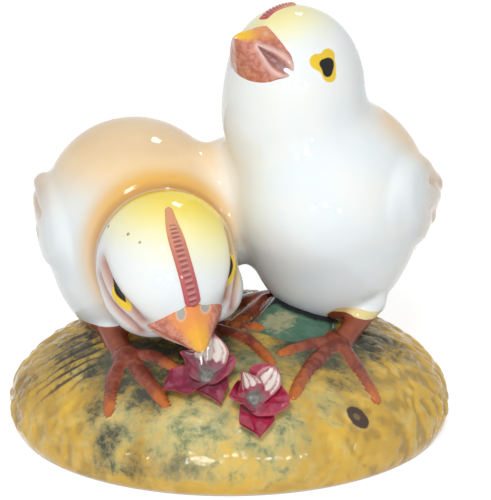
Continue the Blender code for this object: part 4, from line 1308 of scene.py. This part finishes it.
def moundGlaze():
    # Layers of glaze brushed over each other: ochres, olive, greens, browns, and near black, with painted
    # shade in the hollows and painted shadow under the chicks
    paint = Paint("paintedGrassGlaze")
    wide = paint.noise(13.0, 3.0, 0.55, 0.4)
    middle = paint.noise(4.6, 4.0, 0.6, 0.6)
    fine = paint.noise(1.5, 5.0, 0.65)
    stroke = paint.noise(4.4, 6.0, 0.68, 0.25, (1.0, 1.6, 0.7))
    shades = moundColours
    paint.colour = paint.blend(paint.step(0.30, 0.70, wide), shades["ochre"], shades["gold"])
    paint.lay(paint.step(0.45, 0.75, middle) * 0.45, shades["straw"])
    # Darker in the dabs' hollows: glaze pooled there, and partly painted shade
    hollowPoolAndShade = paint.mark("hollowPoolAndShade")
    paint.lay(paint.step(0.0, 1.1, hollowPoolAndShade + (fine - 0.5) * 0.3) * 0.5, shades["umber"])
    paint.lay(paint.step(0.5, 1.2, hollowPoolAndShade + (fine - 0.5) * 0.8) * 0.3, shades["olive"])
    front = paint.mark("olivePaint")
    wash = paint.step(0.3, 0.9, front + (stroke - 0.5) * 1.2)
    paint.lay(wash * 0.8, paint.blend(paint.step(0.35, 0.65, stroke), shades["straw"], shades["sage"]))
    green = paint.mark("greenPaint")
    greens = paint.blend(paint.step(0.3, 0.7, middle), shades["green"], shades["paleGreen"])
    paint.lay(paint.step(0.30, 0.95, green + (stroke - 0.5) * 0.9) * 0.8, greens)
    brown = paint.mark("brownPaint")
    paint.lay(paint.step(0.3, 0.85, brown + (stroke - 0.5) * 0.9) * 0.75, shades["brown"])
    smudge = paint.step(0.58, 0.74, stroke + (front - 0.5) * 0.12 + (fine - 0.5) * 0.4)
    paint.lay(smudge * 0.5, shades["green"])
    # Dark brush marks round the feet, and painted shadow under the chicks
    dark = paint.mark("darkPaintAndShadow")
    fuzz = (stroke - 0.5) * 1.5 + (fine - 0.5) * 1.1
    paint.lay(paint.step(0.15, 0.85, dark + fuzz * 0.5) * 0.7, shades["deepGreen"])
    paint.lay(paint.step(0.50, 1.05, dark + fuzz) * 0.88, shades["dark"])
    ripple = paint.mark("rippleMark")
    paint.lay(paint.step(0.2, 0.8, ripple + (fine - 0.5) * 0.5) * 0.85, shades["dark"])
    halo = paint.mark("halo")
    paint.lay(paint.step(0.05, 0.8, halo + fuzz * 0.35) * 0.75, shades["deepGreen"])
    rock = paint.mark("rockMark")
    stone = paint.blend(paint.step(0.35, 0.65, stroke), shades["rock"], (0.10, 0.20, 0.14))
    patch = paint.step(0.35, 0.95, paint.mark("rockPatch") + fuzz * 1.1)
    stone = paint.blend(patch * 0.75, stone, shades["rockBeige"])
    # Black along the rock's top edge, and painted shadow where the belly meets it
    ridge = paint.step(0.25, 0.75, paint.mark("rockEdge") + fuzz * 0.5)
    stone = paint.blend(ridge, stone, shades["rockEdgeDarkAndShadow"])
    behind = paint.step(0.3, 0.7, paint.mark("rockBack") + (fine - 0.5) * 0.3)
    stone = paint.blend(behind, stone, shades["brown"])
    paint.lay(paint.step(0.3, 0.7, rock), stone)
    toeMark = paint.mark("toeMark") + (fine - 0.5) * 0.35
    toeShade = paint.blend(paint.step(0.40, 0.62, middle), shades["toeRed"], shades["toeBrown"])
    ends = paint.step(0.62, 1.05, paint.mark("toeEnd") + (stroke - 0.5) * 0.9)
    toeShade = paint.blend(ends * 0.8, toeShade, shades["toeOrange"])
    edges = paint.step(0.66, 0.30, toeMark) * paint.step(0.4, 0.6, middle)
    toeShade = paint.blend(edges * 0.8, toeShade, shades["toeOrange"])
    paint.lay(paint.step(0.22, 0.5, toeMark), toeShade)
    paint.lay(paint.step(0.3, 0.6, paint.mark("pitMark") + (fine - 0.5) * 0.3), (0.07, 0.042, 0.026))
    paint.lay(paint.step(0.2, 0.8, paint.mark("pitHeart")), (0.20, 0.13, 0.06))
    glazed = paint.step(0.02, 0.15, paint.mark("glazed"))
    paint.colour = paint.blend(glazed, shades["clay"], paint.colour)
    return paint.finish(0.75 - 0.70 * glazed, stroke * 0.5 + middle * 0.5, 0.14, 0.0)


def petalGlaze():
    # Mauve or crimson, with pale streaks, a dark root and a red rim
    paint = Paint("paintedPetalGlaze")
    fine = paint.noise(1.6, 4.0, 0.6)
    along = paint.mark("along")
    across = paint.mark("across")
    mauve = paint.blend(paint.step(0.3, 0.75, fine), (0.20, 0.035, 0.075), (0.34, 0.09, 0.13))
    crimson = paint.blend(paint.step(0.3, 0.75, fine), (0.30, 0.012, 0.045), (0.46, 0.035, 0.085))
    paint.colour = paint.blend(paint.mark("redness"), mauve, crimson)
    streak = paint.add("ShaderNodeMath", {"operation": "SINE"}, {0: across * 13.0 + fine * 5.0}) * 0.5 + 0.5
    pale = paint.mark("pale")
    oneSide = paint.step(-0.4, 0.5, across + (pale - 0.6) * 4)
    pale = pale * paint.step(0.25, 0.5, along) * (0.55 + 0.45 * streak) * oneSide
    paint.lay(paint.step(0.28, 0.6, pale + (fine - 0.5) * 0.3), (0.80, 0.74, 0.68))
    root = paint.step(0.45, 0.12, along + (fine - 0.5) * 0.3)
    paint.lay(root * 0.85, (0.20, 0.17, 0.17))
    rim = paint.step(0.80, 0.93, across.maths("ABSOLUTE"))
    rim = rim + paint.step(0.87, 0.97, along + (fine - 0.5) * 0.05)
    paint.lay(rim * 0.8, (0.42, 0.045, 0.085))
    return paint.finish(0.06, fine, 0.05, 0.5)


materials = {
    "chickBodies": chickGlaze(), "beaks": beakGlaze(), "combs": combGlaze(), "mound": moundGlaze(),
    "petals": petalGlaze(),
    "cups": plainGlaze("paintedCupGlaze", ((0.10, 0.12, 0.10), (0.30, 0.29, 0.26)), 1.5),
}
pieces = {"chickBodies": (chickBodies, "chickBodies"), "grassMound": (grassMound, "mound")}
pieces.update({name: (item, "beaks") for name, item in beakPieces.items()})
pieces.update({name: (item, "combs") for name, item in combPieces.items()})
pieces.update({name: (item, "petals") for name, item in flowerPieces.items()})
pieces.update({name: (item, "cups") for name, item in cupPieces.items()})
for item, finish in pieces.values():
    item.data.materials.append(materials[finish])
    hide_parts("ceramic_chicks")
    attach(item, "root")
print("glazes: mixed and laid on")


# Floor, light and camera

stage = {"floorSize": 2400.0, "floorColour": (0.80, 0.80, 0.80), "floorGlow": 0.63, "airLight": 0.38}


def seenWhite(paint, strength):
    # Emission only for rays from the camera, from gloss and through glass
    path = paint.nodes.new("ShaderNodeLightPath")
    glossy = Value(paint, path.outputs["Is Glossy Ray"])
    seen = Value(paint, path.outputs["Is Camera Ray"]).maths("MAXIMUM", glossy)
    return seen.maths("MAXIMUM", Value(paint, path.outputs["Is Transmission Ray"])) * strength


def floorPaint():
    # A matt pale floor that gives a little light of its own to the camera
    paint = Paint("paleFloor")
    paint.shader.inputs["Base Color"].default_value = (*stage["floorColour"], 1.0)
    paint.shader.inputs["Roughness"].default_value = 0.9
    paint.shader.inputs["Specular IOR Level"].default_value = 0.0
    paint.shader.inputs["Emission Color"].default_value = (1, 1, 1, 1)
    glow = seenWhite(paint, stage["floorGlow"])
    paint.link(paint.shader.inputs["Emission Strength"], glow)
    return paint.material


half = stage["floorSize"] / 2
corners = [(-half, -half, -0.3), (half, -half, -0.3), (half, half, -0.3), (-half, half, -0.3)]
floor = putMesh("floor", corners, [(0, 1, 2, 3)])
floor.data.materials.append(floorPaint())

# The air gives an even light, and looks white to the camera, in gloss and through glass
world = bpy.data.worlds.new("studioAir")
bpy.context.scene.world = world
world.use_nodes = True
tree = world.node_tree
background = tree.nodes["Background"]
background.inputs["Color"].default_value = (1, 1, 1, 1)
path = tree.nodes.new("ShaderNodeLightPath")
seen = tree.nodes.new("ShaderNodeMath")
seen.operation = "MAXIMUM"
alsoSeen = tree.nodes.new("ShaderNodeMath")
alsoSeen.operation = "MAXIMUM"
tree.links.new(path.outputs["Is Glossy Ray"], alsoSeen.inputs[0])
tree.links.new(path.outputs["Is Transmission Ray"], alsoSeen.inputs[1])
tree.links.new(path.outputs["Is Camera Ray"], seen.inputs[0])
tree.links.new(alsoSeen.outputs[0], seen.inputs[1])
level = tree.nodes.new("ShaderNodeMapRange")
level.inputs["To Min"].default_value = stage["airLight"]
level.inputs["To Max"].default_value = 1.0
tree.links.new(seen.outputs[0], level.inputs["Value"])
tree.links.new(level.outputs["Result"], background.inputs["Strength"])

# Each lamp: bearing from the front towards +X and height above the horizon in degrees, distance
# and size in millimetres, power in watts, and whether the glaze mirrors it
lamps = {
    "frontSoftbox": (-8, 47, 800, 240, 1.9, False),
    "frontGlow": (-8, 47, 800, 80, 1.3, True),
    "backSoftbox": (165, 53, 800, 80, 0.4, True),
    "lowWindowLeft": (-12, 0, 760, 40, 0.30, True),
    "lowWindowMiddle": (4, 4, 760, 60, 0.45, True),
    "lowWindowRight": (20, -1, 760, 36, 0.25, True),
}
lampAim = np.array([0, 0, 45.0])
for lampName, (bearing, height, distance, size, power, mirrored) in lamps.items():
    light = bpy.data.lights.new(lampName, "AREA")
    light.shape = "SQUARE"
    light.size = size * millimetre
    light.energy = power
    item = bpy.data.objects.new(lampName, light)
    bpy.context.scene.collection.objects.link(item)
    item.visible_glossy = mirrored
    turn, lift = math.radians(bearing), math.radians(height)
    out = np.array([math.sin(turn) * math.cos(lift), -math.cos(turn) * math.cos(lift), math.sin(lift)])
    item.location = (lampAim + distance * out) * millimetre
    item.rotation_euler = (math.pi / 2 - lift, 0, turn)

lens = bpy.data.cameras.new("photoView")
lens.lens = view["focal"]
lens.sensor_width = 36.0
lens.clip_end = 10.0
camera = bpy.data.objects.new("photoView", lens)
bpy.context.scene.collection.objects.link(camera)
eye = np.array(view["target"]) + view["distance"] * np.array([0, -math.cos(down), math.sin(down)])
camera.location = eye * millimetre
camera.rotation_euler = (math.pi / 2 - down, 0, 0)
bpy.context.scene.camera = camera
bpy.context.scene.view_settings.view_transform = "Standard"
